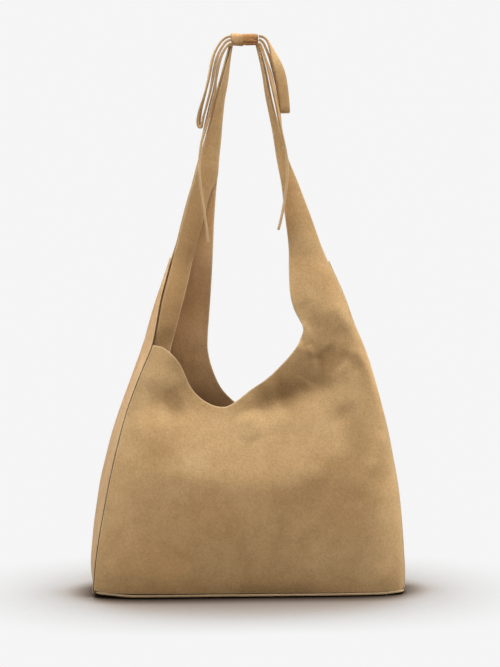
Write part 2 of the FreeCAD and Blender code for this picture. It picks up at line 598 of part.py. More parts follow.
def oval(x, half_depth, half_height, count=20):
    """Closed superellipse section of the knot at x."""
    points = []
    for i in range(count):
        angle = 2 * math.pi * i / count
        c, s = math.cos(angle), math.sin(angle)
        points.append(Vector(
            x,
            KNOT_Y + half_depth * math.copysign(abs(c) ** (2 / OVAL_POWER), c),
            KNOT_Z + half_height * math.copysign(abs(s) ** (2 / OVAL_POWER), s)))
    curve = Part.BSplineCurve()
    curve.interpolate(points, True)
    return Part.Wire(curve.toShape())


def knot_rod(overrun, clearance):
    """The core's shape, run past the knot's ends and grown all round."""
    size = (CORE_HALF_D + clearance, CORE_HALF_H + clearance)
    return Part.makeLoft([oval(KNOT_X0 - overrun, *size), oval(KNOT_X1 + overrun, *size)], True)


def knot_wrap():
    end = (KNOT_HALF_D - 0.6, KNOT_HALF_H - 0.7)
    full = (KNOT_HALF_D, KNOT_HALF_H)
    wrap = Part.makeLoft([
        oval(KNOT_X0, *end),
        oval(KNOT_X0 + 6, *full),
        oval((KNOT_X0 + KNOT_X1) / 2, KNOT_HALF_D + 0.3, KNOT_HALF_H - 0.2),
        oval(KNOT_X1 - 6, *full),
        oval(KNOT_X1, *end)], True)
    return wrap.cut(knot_rod(1, 0.15))


def bow_strand(path):
    """Ribbon along a path, its width along Y and its normal close to the XZ plane."""
    points = [Vector(x, y, z) for x, y, z, share in path]
    lengths = arc_lengths(points)
    line = Part.BSplineCurve()
    line.interpolate(Points=points, Parameters=lengths)
    share_at = monotone(lengths, [row[3] for row in path])
    rows = []
    for u in span(0.0, lengths[-1], int(lengths[-1] / BOW_STEP)):
        along = line.tangent(u)[0]
        across = Vector(0, 1, 0) - along * along.y
        across.normalize()
        rows.append((line.value(u), across, along.cross(across), TIE_W / 2 * share_at(u)))
    return ribbon(rows, TIE_T)


# ----------------------------------------------------------------- build every piece
os.makedirs("parts", exist_ok=True)

export("front_panel", front_panel())
export("back_panel", back_panel())
export("left_gusset", gusset(LEFT, top=397.0))
export("right_gusset", gusset(RIGHT, top=388.0))
export("left_arm_facing", arm_facing(LEFT))
export("right_arm_facing", arm_facing(RIGHT))

board_z = BASE_T + BASE_GAP
export("base_panel", base_plate(1.5, 0.0, BASE_T))
export("base_board", base_plate(9.0, board_z, BOARD_T))
export("base_lining", base_plate(10.5, board_z + BOARD_T + BASE_GAP, LINING))

export("front_lining", panel_lining(front_y, LINING_GAP, front_left_x, front_right_x,
                                    FRONT_LINING_EDGE))
export("back_lining", panel_lining(back_y, -LINING_GAP - LINING, back_left_x, back_right_x,
                                   BACK_LINING_EDGE))
export("left_lining", side_lining(LEFT))
export("right_lining", side_lining(RIGHT))

export("snap_socket", on_panel(snap_socket(), front_y, SNAP_FRONT_Z, 1))
export("snap_stud", on_panel(snap_stud(), back_y, SNAP_BACK_Z, -1))
export("snap_front_washer", on_panel(snap_washer(), front_y, SNAP_FRONT_Z, 1))
export("snap_back_washer", on_panel(snap_washer(), back_y, SNAP_BACK_Z, -1))

for place_name, up in (("upper", 1), ("lower", -1)):
    export("zip_coil_" + place_name, zip_coil(up))
    export("zip_tape_" + place_name, zip_tape(up))
export("zip_end_stops", zip_end_stops())
export("pocket_bag", pocket_bag())
export("zip_slider", zip_slider())
export("zip_pull", zip_pull())

# The left arm's outer layer is at the back, the right arm's at the front.
export("left_strap_outer", arm_layer(LEFT_ARM, 1, 1))
export("left_strap_facing", trim_facing(arm_layer(LEFT_ARM, 1, -1), LEFT, 34.0))
export("right_strap_outer", arm_layer(RIGHT_ARM, -1, -1))
export("right_strap_facing", trim_facing(arm_layer(RIGHT_ARM, -1, 1), RIGHT, 36.0))

export("knot_wrap", knot_wrap())
export("knot_core", knot_rod(-0.4, 0.0))
export("left_loop", bow_strand(LEFT_LOOP))
export("left_tail", bow_strand(LEFT_TAIL))
export("right_loop", bow_strand(RIGHT_LOOP))
export("right_tail", bow_strand(RIGHT_TAIL))
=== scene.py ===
# Suede hobo bag: sewn suede skins, a lining with a zipped pocket, a tied bow and the studio.
# X runs right, Y back and Z up. The base stands on Z = 0 and the front faces -Y.
# Shapes are worked out in millimetres and scaled to metres as meshes are made.
# Materials and the studio are in metres.
import math
from collections import namedtuple
from functools import partial

import bpy
import numpy as np
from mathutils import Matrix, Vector
from mathutils.geometry import delaunay_2d_cdt


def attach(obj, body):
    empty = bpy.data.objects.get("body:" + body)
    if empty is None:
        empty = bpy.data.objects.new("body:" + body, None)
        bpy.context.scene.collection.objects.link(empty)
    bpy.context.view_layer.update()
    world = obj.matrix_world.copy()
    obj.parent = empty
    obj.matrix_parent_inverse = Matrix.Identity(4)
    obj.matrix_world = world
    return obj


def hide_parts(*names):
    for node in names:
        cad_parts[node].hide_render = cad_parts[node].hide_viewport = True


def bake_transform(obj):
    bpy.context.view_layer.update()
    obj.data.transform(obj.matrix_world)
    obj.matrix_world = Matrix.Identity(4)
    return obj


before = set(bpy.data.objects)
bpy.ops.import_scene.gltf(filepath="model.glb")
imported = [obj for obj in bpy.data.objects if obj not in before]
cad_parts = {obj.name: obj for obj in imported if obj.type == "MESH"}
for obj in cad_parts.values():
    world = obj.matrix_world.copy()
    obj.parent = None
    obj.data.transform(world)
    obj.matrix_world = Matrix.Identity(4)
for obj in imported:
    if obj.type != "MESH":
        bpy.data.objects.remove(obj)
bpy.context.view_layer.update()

MM = 0.001
SKIN = 1.8                                # suede thickness
SPACING = 2.5      # triangle size of the skins
ARM_Z = 411.0                             # the arms leave the body here
TOP_Z = 664.5                             # the skins end inside the knot
TWIST_Z = 490.0                           # the arms turn toward the knot above this
SEAM_BLUR = 7.0
ARM_BLUR = 5
FACING_BLUR = 2.5
ROLL_LENGTH, ROLL_RADIUS = 16.0, 12.5     # stretch of panel rolled round its free side
FREE_REACH = 3.6                          # how far the free side stands past its seam
ZIP_Y = 46.55                             # plane of the zipped pocket
TIE_WIDTH, TIE_THICK = 12.0, 2.9
KNOT_Y, KNOT_Z = -3.0, 669.8


# ---------------------------------------------------------------- measured tables
def table(text):
    """Reads rows of numbers: commas part the rows, spaces part the columns."""
    return [tuple(map(float, row.split())) for row in text.split(",")]


# corner seams: x, y, z
LEFT_FRONT = table("""
    -190.3 -34 6.9, -188.8 -41 28.8, -185.9 -46 53.9, -181.8 -49 80.9, -177.5 -50 104.5,
    -171.3 -50 137.5, -165.0 -48 166.0, -157.4 -45 196.7, -149.5 -41 225.0, -141.5 -38 247.4,
    -128.6 -33 279.3, -118.1 -29 304.1, -112.8 -25 331.4, -108.1 -20.5 357.6,
    -101.8 -13 381.3, -97.2 -7.5 397.9, -93.8 -4.6 411.0""")
LEFT_BACK = table("""
    -191.0 36 3.3, -194.0 42 18.0, -194.1 47 41.2, -192.5 50 70.7, -188.6 50 100.7,
    -184.1 48 130.9, -177.1 45.5 161.1, -168.3 42 191.3, -156.4 37 226.5, -145.8 33 256.5,
    -135.3 29 286.3, -128.5 26 306.2, -122.3 22 326.0, -112.5 17 355.6, -105.8 12.0 375.3,
    -99.7 7.5 394.9, -94.9 4.6 411.0""")
RIGHT_FRONT = table("""
    187.6 -30 3.3, 188.3 -33 21.2, 186.5 -36 52.3, 184.4 -37 81.8, 181.8 -37 111.1,
    178.1 -36 140.1, 172.8 -34 169.1, 167.4 -32 198.0, 159.2 -29 231.7, 151.5 -26 260.5,
    142.9 -23 289.3, 134.3 -21 311.0, 125.9 -19 330.3, 115.7 -15 356.7, 107.2 -11 375.8,
    98.1 -7.0 395.1, 91.2 -4.6 411.0""")
RIGHT_BACK = [(-x, -y, z) for x, y, z in LEFT_FRONT]
# mouth edges and the left facing's free edge: x, z
FRONT_MOUTH = table("""
    -118.1 304.1, -108.4 302.4, -98.8 296.2, -90.6 287.9, -83.8 278.4, -78.4 265.9,
    -72.9 254.0, -63.3 242.7, -53.7 235.8, -42.7 231.2, -32.6 230.0, -21.2 234.8, -12.2 241.4,
    1.0 251.5, 15.5 261.6, 26.3 270.4, 36.0 279.9, 45.9 290.4, 53.3 299.8, 58.9 309.2,
    62.4 318.6, 62.8 323.4, 59.3 331.7, 54.0 341.3, 49.8 352.1, 47.6 362.9, 46.5 376.0,
    46.2 392.8, 46.4 411.0""")
BACK_MOUTH = table("""
    -44.6 411.0, -45.2 394.8, -46.2 375.1, -47.3 355.4, -48.7 335.7, -50.2 315.9, -50.8 299.7,
    -49.1 286.0, -45.8 273.5, -39.6 257.3, -33.4 245.9, -24.7 235.8, -14.0 226.8, 2.0 220.0,
    20.0 218.0, 38.0 221.5, 53.7 230.5, 66.0 242.7, 76.0 258.0, 83.8 275.4, 90.6 287.9,
    98.8 296.2, 108.4 302.4, 118.1 304.1""")
LEFT_FACING_EDGE = table("""
    -108.0 252.0, -105.3 265.1, -101.7 280.4, -97.4 295.8, -89.5 325.2, -80.9 357.3,
    -74.8 381.1, -68.4 409.0, -63.6 426.4, -58.0 447.7, -52.0 470.3, -47.2 486.6, -42.6 496.0,
    -40.4 500.0""")
# arms: z, centre x, width, turn in degrees
LEFT_ARM = table("""
    411.0 -69.7 50.3 0, 424.0 -67.0 46.0 0, 443.4 -64.4 42.0 0, 462.7 -61.4 38.2 0,
    480.8 -58.3 34.5 0, 494.0 -55.7 31.4 0, 508.5 -53.0 29.2 0, 522.9 -50.6 26.6 0,
    537.0 -47.6 23.2 2, 551.7 -44.4 20.0 10, 568.5 -41.6 17.2 20, 585.3 -39.0 15.2 26,
    599.7 -36.6 14.0 32, 612.0 -33.6 13.2 38, 626.0 -30.5 12.4 50, 640.0 -27.9 11.4 62,
    652.0 -25.4 9.8 72, 665.0 -22.6 8.4 80""")
RIGHT_ARM = table("""
    411.0 68.8 45.0 0, 424.0 66.0 39.8 0, 441.0 61.9 36.0 0, 457.9 57.8 32.2 0,
    472.3 54.1 28.5 0, 486.8 50.9 24.2 0, 501.3 47.1 20.8 2, 515.7 42.6 17.4 10,
    530.1 38.8 15.0 24, 549.3 34.9 13.4 36, 563.7 31.8 12.6 48, 575.7 28.3 12.0 60,
    590.0 25.0 12.0 66, 609.3 20.8 12.0 72, 621.2 19.1 12.0 76, 633.2 16.8 12.0 79,
    645.1 14.0 11.0 81, 655.8 11.2 9.2 83, 665.0 8.6 8.4 84""")
# folds of a main panel: depth into the bag, spread, fade share at the start and end, path x z
FOLDS = [
    # valley and rolled lip under the mouth
    (5.6, 9.0, 0.2, 0.3,
     "-16 219, -1 222, 13 227, 30 233, 46 239, 62 245, 78 250, 95 254, 110 258"),
    (-2.0, 16, 0.3, 0.3, "10 205, 34 212, 59 220, 83 226, 104 234"),
    (-8.5, 15, 0.25, 0.15, "-4 248, 12 261, 30 277, 46 295, 58 314"),
    (2.2, 9.0, 0.12, 0.12, "64 258, 72 272, 80 292"),
    # creases running down from the inner bend of the arm
    (-2.6, 3.2, 0.05, 0.35, "60 329, 67 321, 72 311, 76 299, 79 289, 81 278, 81 266"),
    (1.4, 5.0, 0.12, 0.12, "66 306, 70 294, 72 282"),
    (2.8, 9.0, 0.2, 0.2, "88 300, 99 287, 112 274"),
    (-3.2, 5.5, 0.25, 0.1, "118 301, 130 291, 140 281, 152 268"),
    (1.8, 6.0, 0.25, 0.25, "108 292, 122 281, 134 268"),
    # right side: long soft valley and its shoulder
    (5.6, 13, 0.2, 0.4, "101 232, 110 216, 119 196, 126 177, 129 153, 126 126"),
    (-3.2, 7.5, 0.25, 0.3, "163 203, 156 183, 149 165, 143 144"),
    # left side: dimple below the peak
    (3.0, 11.0, 0.25, 0.35, "-131 233, -114 233, -99 230, -84 225, -68 219"),
    (-2.0, 11.0, 0.2, 0.2, "-134 262, -120 268, -104 262, -90 248"),
    (0.9, 3.6, 0.3, 0.3, "-84 258, -76 236, -68 216"),
    (-0.8, 3.4, 0.3, 0.3, "-92 262, -84 240, -77 220"),
    (1.2, 12.0, 0.3, 0.3, "-150 196, -128 176, -104 160"),
    # bend of the arm
    (1.6, 7.0, 0.2, 0.3, "60 356, 66 344, 74 331, 82 320"),
    (-2.2, 10.0, 0.3, 0.3, "96 356, 106 336, 112 316")]
# painted light and shade as a colour tone: tone (below 1 painted shade, above 1 painted
# highlight), spread, fade share at the start and end, path x z
PAINTED_LIGHT_STROKES = [
    (0.60, 20, 0.2, 0.15, "87 312, 83 280, 62 258, 25 243"),
    (0.72, 10, 0.25, 0.25, "5 250, 31 246, 52 258"),
    (0.68, 13, 0.2, 0.2, "-89 301, -84 270, -93 239, -110 228"),
    (0.85, 20, 0.4, 0.4, "-122 216, -114 182, -96 152"),
    (0.76, 17, 0.35, 0.4, "112 226, 121 190, 121 156, 100 124"),
    (0.86, 16, 0.3, 0.3, "79 162, 97 144"),
    (1.30, 10, 0.2, 0.3, "148 307, 157 270, 163 240"),
    (1.22, 14, 0.2, 0.1, "161 160, 167 84, 169 14"),
    (1.18, 22, 0.2, 0.2, "-174 66, -108 47, -78 17"),
    (0.72, 8, 0.3, 0.3, "-30 11, 31 8, 90 11"),
    (0.88, 18, 0.3, 0.3, "13 108, 61 120, 85 108"),
    (1.30, 2.6, 0.1, 0.3, "61 324, 70 307, 76 290, 80 272, 81 262"),
    (0.84, 3.2, 0.2, 0.3, "68 318, 79 300, 85 284, 87 266")]


# ---------------------------------------------------------------- curves and noise
def blur(values, sigma):
    """Gaussian smoothing that keeps the slope at both ends."""
    r = int(max(1, sigma * 3))
    kernel = np.exp(-0.5 * (np.arange(-r, r + 1) / sigma) ** 2)
    kernel /= kernel.sum()
    padded = np.concatenate([2 * values[0] - values[r:0:-1], values,
                             2 * values[-1] - values[-2:-r - 2:-1]])
    return np.convolve(padded, kernel, "valid")


class Curve:
    """Monotone cubic y = f(x) through points, then smoothed; straight beyond its ends."""
    MARGIN = 60

    def __init__(self, xs, ys, sigma=0.0, step=1.0):
        xs, ys = np.asarray(xs, float), np.asarray(ys, float)
        order = np.argsort(xs)
        xs, ys = xs[order], ys[order]
        gap, count = np.diff(xs), len(xs)
        rise = np.diff(ys) / gap
        slope = np.zeros(count)
        slope[0], slope[-1] = rise[0], rise[-1]
        for i in range(1, count - 1):
            if rise[i - 1] * rise[i] > 0:
                w1, w2 = 2 * gap[i] + gap[i - 1], gap[i] + 2 * gap[i - 1]
                slope[i] = (w1 + w2) / (w1 / rise[i - 1] + w2 / rise[i])
        x = np.arange(xs[0] - self.MARGIN, xs[-1] + self.MARGIN + step, step)
        i = np.clip(np.searchsorted(xs, x) - 1, 0, count - 2)
        t = (x - xs[i]) / gap[i]
        y = (ys[i] * (1 + 2 * t) * (1 - t) ** 2 + gap[i] * slope[i] * t * (1 - t) ** 2
             + ys[i + 1] * t * t * (3 - 2 * t) + gap[i] * slope[i + 1] * t * t * (t - 1))
        y = np.where(x < xs[0], ys[0] + slope[0] * (x - xs[0]), y)
        y = np.where(x > xs[-1], ys[-1] + slope[-1] * (x - xs[-1]), y)
        self.x = x
        self.y = blur(y, sigma / step) if sigma else y

    def __call__(self, x):
        return np.interp(np.asarray(x, float), self.x, self.y)


def curve_of(pairs, sigma=0.0):
    """Curve through (position, value) pairs."""
    return Curve(*zip(*pairs), sigma)


def path_lengths(points):
    return np.r_[0, np.cumsum(np.linalg.norm(np.diff(points, axis=0), axis=1))]


def resample(points, step, sigma=0.0):
    """Evenly spaced points along a polyline, smoothed, with both ends kept."""
    p = np.asarray(points, float)
    length = path_lengths(p)
    curves = [Curve(length, p[:, k], step=0.5) for k in range(p.shape[1])]
    at = np.arange(0, length[-1], 0.5)
    q = np.vstack([np.stack([f(at) for f in curves], 1), p[-1]])
    if sigma:
        soft = np.stack([blur(q[:, k], sigma / 0.5) for k in range(q.shape[1])], 1)
        from_end = np.minimum(np.arange(len(q)), np.arange(len(q))[::-1]) * 0.5
        share = np.clip(from_end / (2 * sigma), 0, 1)[:, None]
        q = q * (1 - share) + soft * share
    length = path_lengths(q)
    count = max(2, int(round(length[-1] / step)))
    at = np.linspace(0, length[-1], count + 1)
    return np.stack([np.interp(at, length, q[:, k]) for k in range(q.shape[1])], 1)


def ease(start, end, x):
    """Smooth step from 0 at start to 1 at end; start may be the larger one."""
    t = np.clip((np.asarray(x, float) - start) / (end - start), 0, 1)
    return t * t * (3 - 2 * t)


def line_distance(x, z, p):
    """Distance to a polyline and the share along it."""
    legs = np.diff(p, axis=0)
    length = np.linalg.norm(legs, axis=1)
    start = np.r_[0, np.cumsum(length)]
    best = np.full(np.shape(x), 1e9)
    along = np.zeros(np.shape(x))
    for i, leg in enumerate(legs):
        t = ((x - p[i, 0]) * leg[0] + (z - p[i, 1]) * leg[1]) / (length[i] ** 2)
        t = np.clip(t, 0, 1)
        d = np.hypot(x - p[i, 0] - t * leg[0], z - p[i, 1] - t * leg[1])
        nearer = d < best
        best = np.where(nearer, d, best)
        along = np.where(nearer, (start[i] + t * length[i]) / start[-1], along)
    return best, along


def fold(x, z, height, spread, fade_in, fade_out, path):
    """A rounded ridge along a path that dies away toward both ends."""
    d, along = line_distance(x, z, resample(table(path), 6.0))
    taper = 0.15 + 0.85 * ease(0, fade_in, along)
    taper = taper * (0.15 + 0.85 * ease(0, fade_out, 1 - along))
    return height * np.exp(-0.5 * (d / spread) ** 2) * taper


class Noise:
    """Smooth seeded noise over a plane, about -1 to 1."""
    SIZE = 96

    def __init__(self, cell, seed):
        self.grid = np.random.default_rng(seed).standard_normal((self.SIZE, self.SIZE))
        self.cell = cell

    @staticmethod
    def weights(f):
        return [(1 - f) ** 3 / 6, (3 * f ** 3 - 6 * f ** 2 + 4) / 6,
                (-3 * f ** 3 + 3 * f ** 2 + 3 * f + 1) / 6, f ** 3 / 6]

    def __call__(self, x, z):
        u = np.asarray(x) / self.cell + self.SIZE / 2
        v = np.asarray(z) / self.cell + 7
        i, j = np.floor(u).astype(int), np.floor(v).astype(int)
        wu, wv = self.weights(u - i), self.weights(v - j)
        total = 0
        for a in range(4):
            for b in range(4):
                node = self.grid[(i + a - 1) % self.SIZE, (j + b - 1) % self.SIZE]
                total = total + wu[a] * wv[b] * node
        return total


wide, medium, fine = Noise(62, 1), Noise(30, 2), Noise(13, 3)
back_wide, back_medium = Noise(66, 11), Noise(31, 12)

# ---------------------------------------------------------------- body form
Arm = namedtuple("Arm", "side outer inner centre turn")    # side is 1 right, -1 left
Seam = namedtuple("Seam", "x y")                           # both as curves over z


def make_arm(stations, side):
    above = stations[1:]
    return Arm(side,
               outer=[(z, x + side * width / 2) for z, x, width, _ in above],
               inner=[(z, x - side * width / 2) for z, x, width, _ in above],
               centre=curve_of([(s[0], s[1]) for s in stations], ARM_BLUR),
               turn=curve_of([(s[0], s[3]) for s in stations], ARM_BLUR))


def make_seam(stations, arm_edge=()):
    return Seam(x=curve_of([(z, x) for x, y, z in stations] + list(arm_edge), SEAM_BLUR),
                y=curve_of([(z, y) for x, y, z in stations], SEAM_BLUR))


left_arm, right_arm = make_arm(LEFT_ARM, -1), make_arm(RIGHT_ARM, 1)
left_front = make_seam(LEFT_FRONT)
left_back = make_seam(LEFT_BACK, left_arm.outer)
right_front = make_seam(RIGHT_FRONT, right_arm.outer)
right_back = make_seam(RIGHT_BACK)

# curves over z: how far a panel bulges, how square the bulge is, where the outer face
# of an arm layer lies, and how far an arm is crowned
bulge = curve_of(table("""0 13.5, 20 17, 60 20.5, 100 23.5, 140 23.5, 170 17.5, 200 8.5,
    230 0.5, 260 -3, 304 -2, 340 0.5, 411 0, 700 0"""), 5)
squareness = curve_of(table("0 7, 40 7, 100 6.5, 200 6, 260 4, 411 2.2, 700 2.2"), 8)
layer_y = curve_of(table("""380 -9, 400 -6, 411 -4.6, 440 -3.8, 470 -2.9, 500 -2.2, 560 -2,
    700 -2"""))
crown = curve_of(table("""270 0, 310 1.5, 350 6, 390 7, 430 5.8, 480 3.4, 540 1.4, 600 0.5,
    700 0.1"""))


def relief(x, z):
    """Folds seen from outside: positive pushes the suede into the bag."""
    total = 0.0
    for row in FOLDS:
        total = total + fold(x, z, *row)
    return total


def front_relief(x, z):
    return relief(x, z) + 0.8 * wide(x, z) + 0.26 * medium(x, z) + 0.10 * fine(x, z)


def back_relief(x, z):
    # the part seen through the mouth stays calm
    calm = 1 - 0.85 * ease(205, 232, z) * ease(60, 25, x)
    return (0.9 * relief(-x * 1.03 + 4, z + 6) * calm + 0.9 * back_wide(x, z)
            + 0.32 * back_medium(x, z) + 0.10 * fine(x + 40, z + 90))


def front_bulge_z(x, z):
    """Height at which the bulge is read, so that its brow wavers across the front."""
    waver = (-20 * ease(-60, -150, x) + 9 * np.exp(-((x - 8) / 38) ** 2)
             - 4 * np.exp(-((x - 60) / 26) ** 2))
    return z + waver * ease(80, 130, z) * (1 - ease(205, 245, z))


def back_bulge_z(x, z):
    return z - 16 * ease(60, 150, x) * ease(90, 130, z) * (1 - ease(215, 250, z))


# free is the rolled outer seam, arm_inner holds z and x of the arm's inner edge,
# snap_y and snap_z place the snap washer the panel lies over
Panel = namedtuple("Panel", "left right free arm arm_inner bulge_z relief snap_y snap_z")
front_panel = Panel(
    left=left_front, right=right_front, free=right_front, arm=right_arm,
    arm_inner=np.array([(z, x) for x, z in FRONT_MOUTH[-8:]] + right_arm.inner).T,
    bulge_z=front_bulge_z, relief=front_relief, snap_y=47.8, snap_z=204.0)
back_panel = Panel(
    left=left_back, right=right_back, free=left_back, arm=left_arm,
    arm_inner=np.array([(z, x) for x, z in BACK_MOUTH[6::-1]] + left_arm.inner).T,
    bulge_z=back_bulge_z, relief=back_relief, snap_y=53.9, snap_z=198.0)


def cover_snap(panel, x, y, z):
    """Lays the suede over the washer of the magnetic snap, never into it."""
    outward = -panel.arm.side
    beyond = np.maximum((x + 4.0) ** 2 + (z - panel.snap_z) ** 2 - 100.0, 0.0)
    limit = panel.snap_y - 0.29 * (z - (panel.snap_z - 7.5)) - 0.016 * beyond
    gap = outward * y - limit
    return np.where(gap > 2.0, y,
                    outward * (limit + np.log1p(np.exp(np.clip(gap, -30, 30)))))


def panel_y(panel, x, z):
    x, z = np.asarray(x, float), np.asarray(z, float)
    side, outward = panel.arm.side, -panel.arm.side
    body_z = np.minimum(z, ARM_Z)
    left_x, right_x = panel.left.x(body_z), panel.right.x(body_z)
    left_y, right_y = panel.left.y(body_z), panel.right.y(body_z)
    across = np.clip((2 * x - left_x - right_x) / (right_x - left_x), -1, 1)
    y = left_y + (right_y - left_y) * (across + 1) / 2
    y = y + outward * bulge(panel.bulge_z(x, z)) * (1 - np.abs(across) ** squareness(z))
    inside = ease(0, 16.0, np.minimum(x - left_x, right_x - x))
    y = y - outward * panel.relief(x, z) * inside * (1 - ease(395, 425, z))
    # arm: one convex band between its own edges
    inner_x, outer_x = np.interp(z, *panel.arm_inner), panel.free.x(z)
    width = np.maximum(side * (outer_x - inner_x), 1)
    across = np.clip((2 * x - inner_x - outer_x) / width, -1, 1)
    share = ease(395, 420, z)
    y = y * (1 - share) - outward * layer_y(z) * share
    y = y + outward * crown(z) * (1 - across * across) * ease(300, 345, z)
    return cover_snap(panel, x, y, z)


def painted_light_tone(x, z):
    """Painted light and shade as a colour tone: below 1 painted shade, above 1 painted highlight.
    """
    tone = np.ones(np.shape(x))
    for value, *shape in PAINTED_LIGHT_STROKES:
        tone = tone * (1 + (value - 1) * fold(x, z, 1.0, *shape))
    return tone


def back_painted_light_tone(x, z):
    return 1 + 0.6 * (painted_light_tone(-x * 1.03 + 4, z + 6) - 1)


def twist(arm, x, y, z):
    """Turns an arm's cross-section about its centre line as it nears the knot."""
    angle = np.radians(-arm.side * arm.turn(z))
    turned, centre = z >= TWIST_Z, arm.centre(z)
    off = x - centre
    turned_x = centre + off * np.cos(angle) - y * np.sin(angle)
    turned_y = off * np.sin(angle) + y * np.cos(angle)
    return np.stack([np.where(turned, turned_x, x), np.where(turned, turned_y, y), z], -1)


def body_share(z):
    """1 on the body, easing to 0 where the arm begins."""
    return 1 - ease(300, 385, z)


def free_edge(panel, z):
    return panel.free.x(z) + panel.arm.side * FREE_REACH * body_share(z)


def lift_panel(panel, x, z):
    """Places a panel in space; its free side rolls round so the seam lies behind the outline."""
    side, share = panel.arm.side, body_share(z)
    y = panel_y(panel, x, z)
    flat = ROLL_LENGTH - np.abs(free_edge(panel, z) - x)
    flat = np.clip(flat, 0, ROLL_LENGTH) * (share > 0)
    angle = flat / ROLL_RADIUS
    x = x + side * share * (ROLL_RADIUS * np.sin(angle) - flat)
    y = y + side * share * ROLL_RADIUS * (1 - np.cos(angle))
    return twist(panel.arm, x, y, z)


# ---------------------------------------------------------------- materials
class Graph:
    """Short ways to build a node tree. Inputs are keyed by name or index."""

    def __init__(self, owner, output):
        owner.use_nodes = True
        self.tree = owner.node_tree
        self.tree.nodes.clear()
        self.output = self.node(output)

    def fill(self, node, inputs):
        """Sets each input to a value, or links it when the value is a socket."""
        for key, value in inputs.items():
            if isinstance(value, bpy.types.NodeSocket):
                self.tree.links.new(value, node.inputs[key])
            else:
                node.inputs[key].default_value = value

    def node(self, kind, inputs=None, **settings):
        node = self.tree.nodes.new("ShaderNode" + kind)
        for key, value in settings.items():
            setattr(node, key, value)
        self.fill(node, inputs or {})
        return node

    def attribute(self, name, output):
        return self.node("Attribute", attribute_name=name).outputs[output]

    def mix(self, share, a, b, mode="MIX"):
        return self.node("Mix", {0: share, 6: a, 7: b}, data_type="RGBA", blend_type=mode,
                         clamp_result=False).outputs[2]

    def ramp(self, source, stops):
        node = self.node("ValToRGB", {0: source})
        elements = node.color_ramp.elements
        while len(elements) < len(stops):
            elements.new(0.5)
        for element, (position, colour) in zip(elements, stops):
            element.position = position
            element.color = (*colour[:3], 1)
        return node.outputs[0]

    def noise(self, vector, scale, detail=3.0, rough=0.55, distort=0.0, stretch=None):
        if stretch:
            vector = self.node("Mapping", {"Vector": vector, "Scale": stretch}).outputs[0]
        return self.node("TexNoise", {
            "Vector": vector, "Scale": scale, "Detail": detail, "Roughness": rough,
            "Distortion": distort}).outputs["Fac"]

    def math(self, operation, a, b):
        return self.node("Math", {0: a, 1: b}, operation=operation).outputs[0]

    def remap(self, value, low, high, to_low, to_high):
        return self.node("MapRange", {0: value, 1: low, 2: high, 3: to_low,
                                      4: to_high}).outputs[0]

    def bump(self, height, strength, distance, **normal):
        return self.node("Bump", {"Height": height, "Strength": strength,
                                  "Distance": distance, **normal}).outputs[0]

    def camera_split(self, seen, unseen):
        """Shows one shader to the camera and the other to every other ray."""
        mixer = self.node("MixShader", {1: unseen.outputs[0], 2: seen.outputs[0]})
        self.fill(mixer, {0: self.node("LightPath").outputs["Is Camera Ray"]})
        self.fill(self.output, {0: mixer.outputs[0]})


def new_material(name):
    material = bpy.data.materials.new(name)
    graph = Graph(material, "OutputMaterial")
    shader = graph.node("BsdfPrincipled")
    graph.fill(graph.output, {0: shader.outputs[0]})
    return material, graph, shader


def srgb(*levels):
    """Linear colour from 0-255 sRGB levels."""
    def linear(level):
        c = level / 255
        return ((c + 0.055) / 1.055) ** 2.4 if c > 0.04045 else c / 12.92
    return (*map(linear, levels), 1.0)


WHITE = (1, 1, 1)


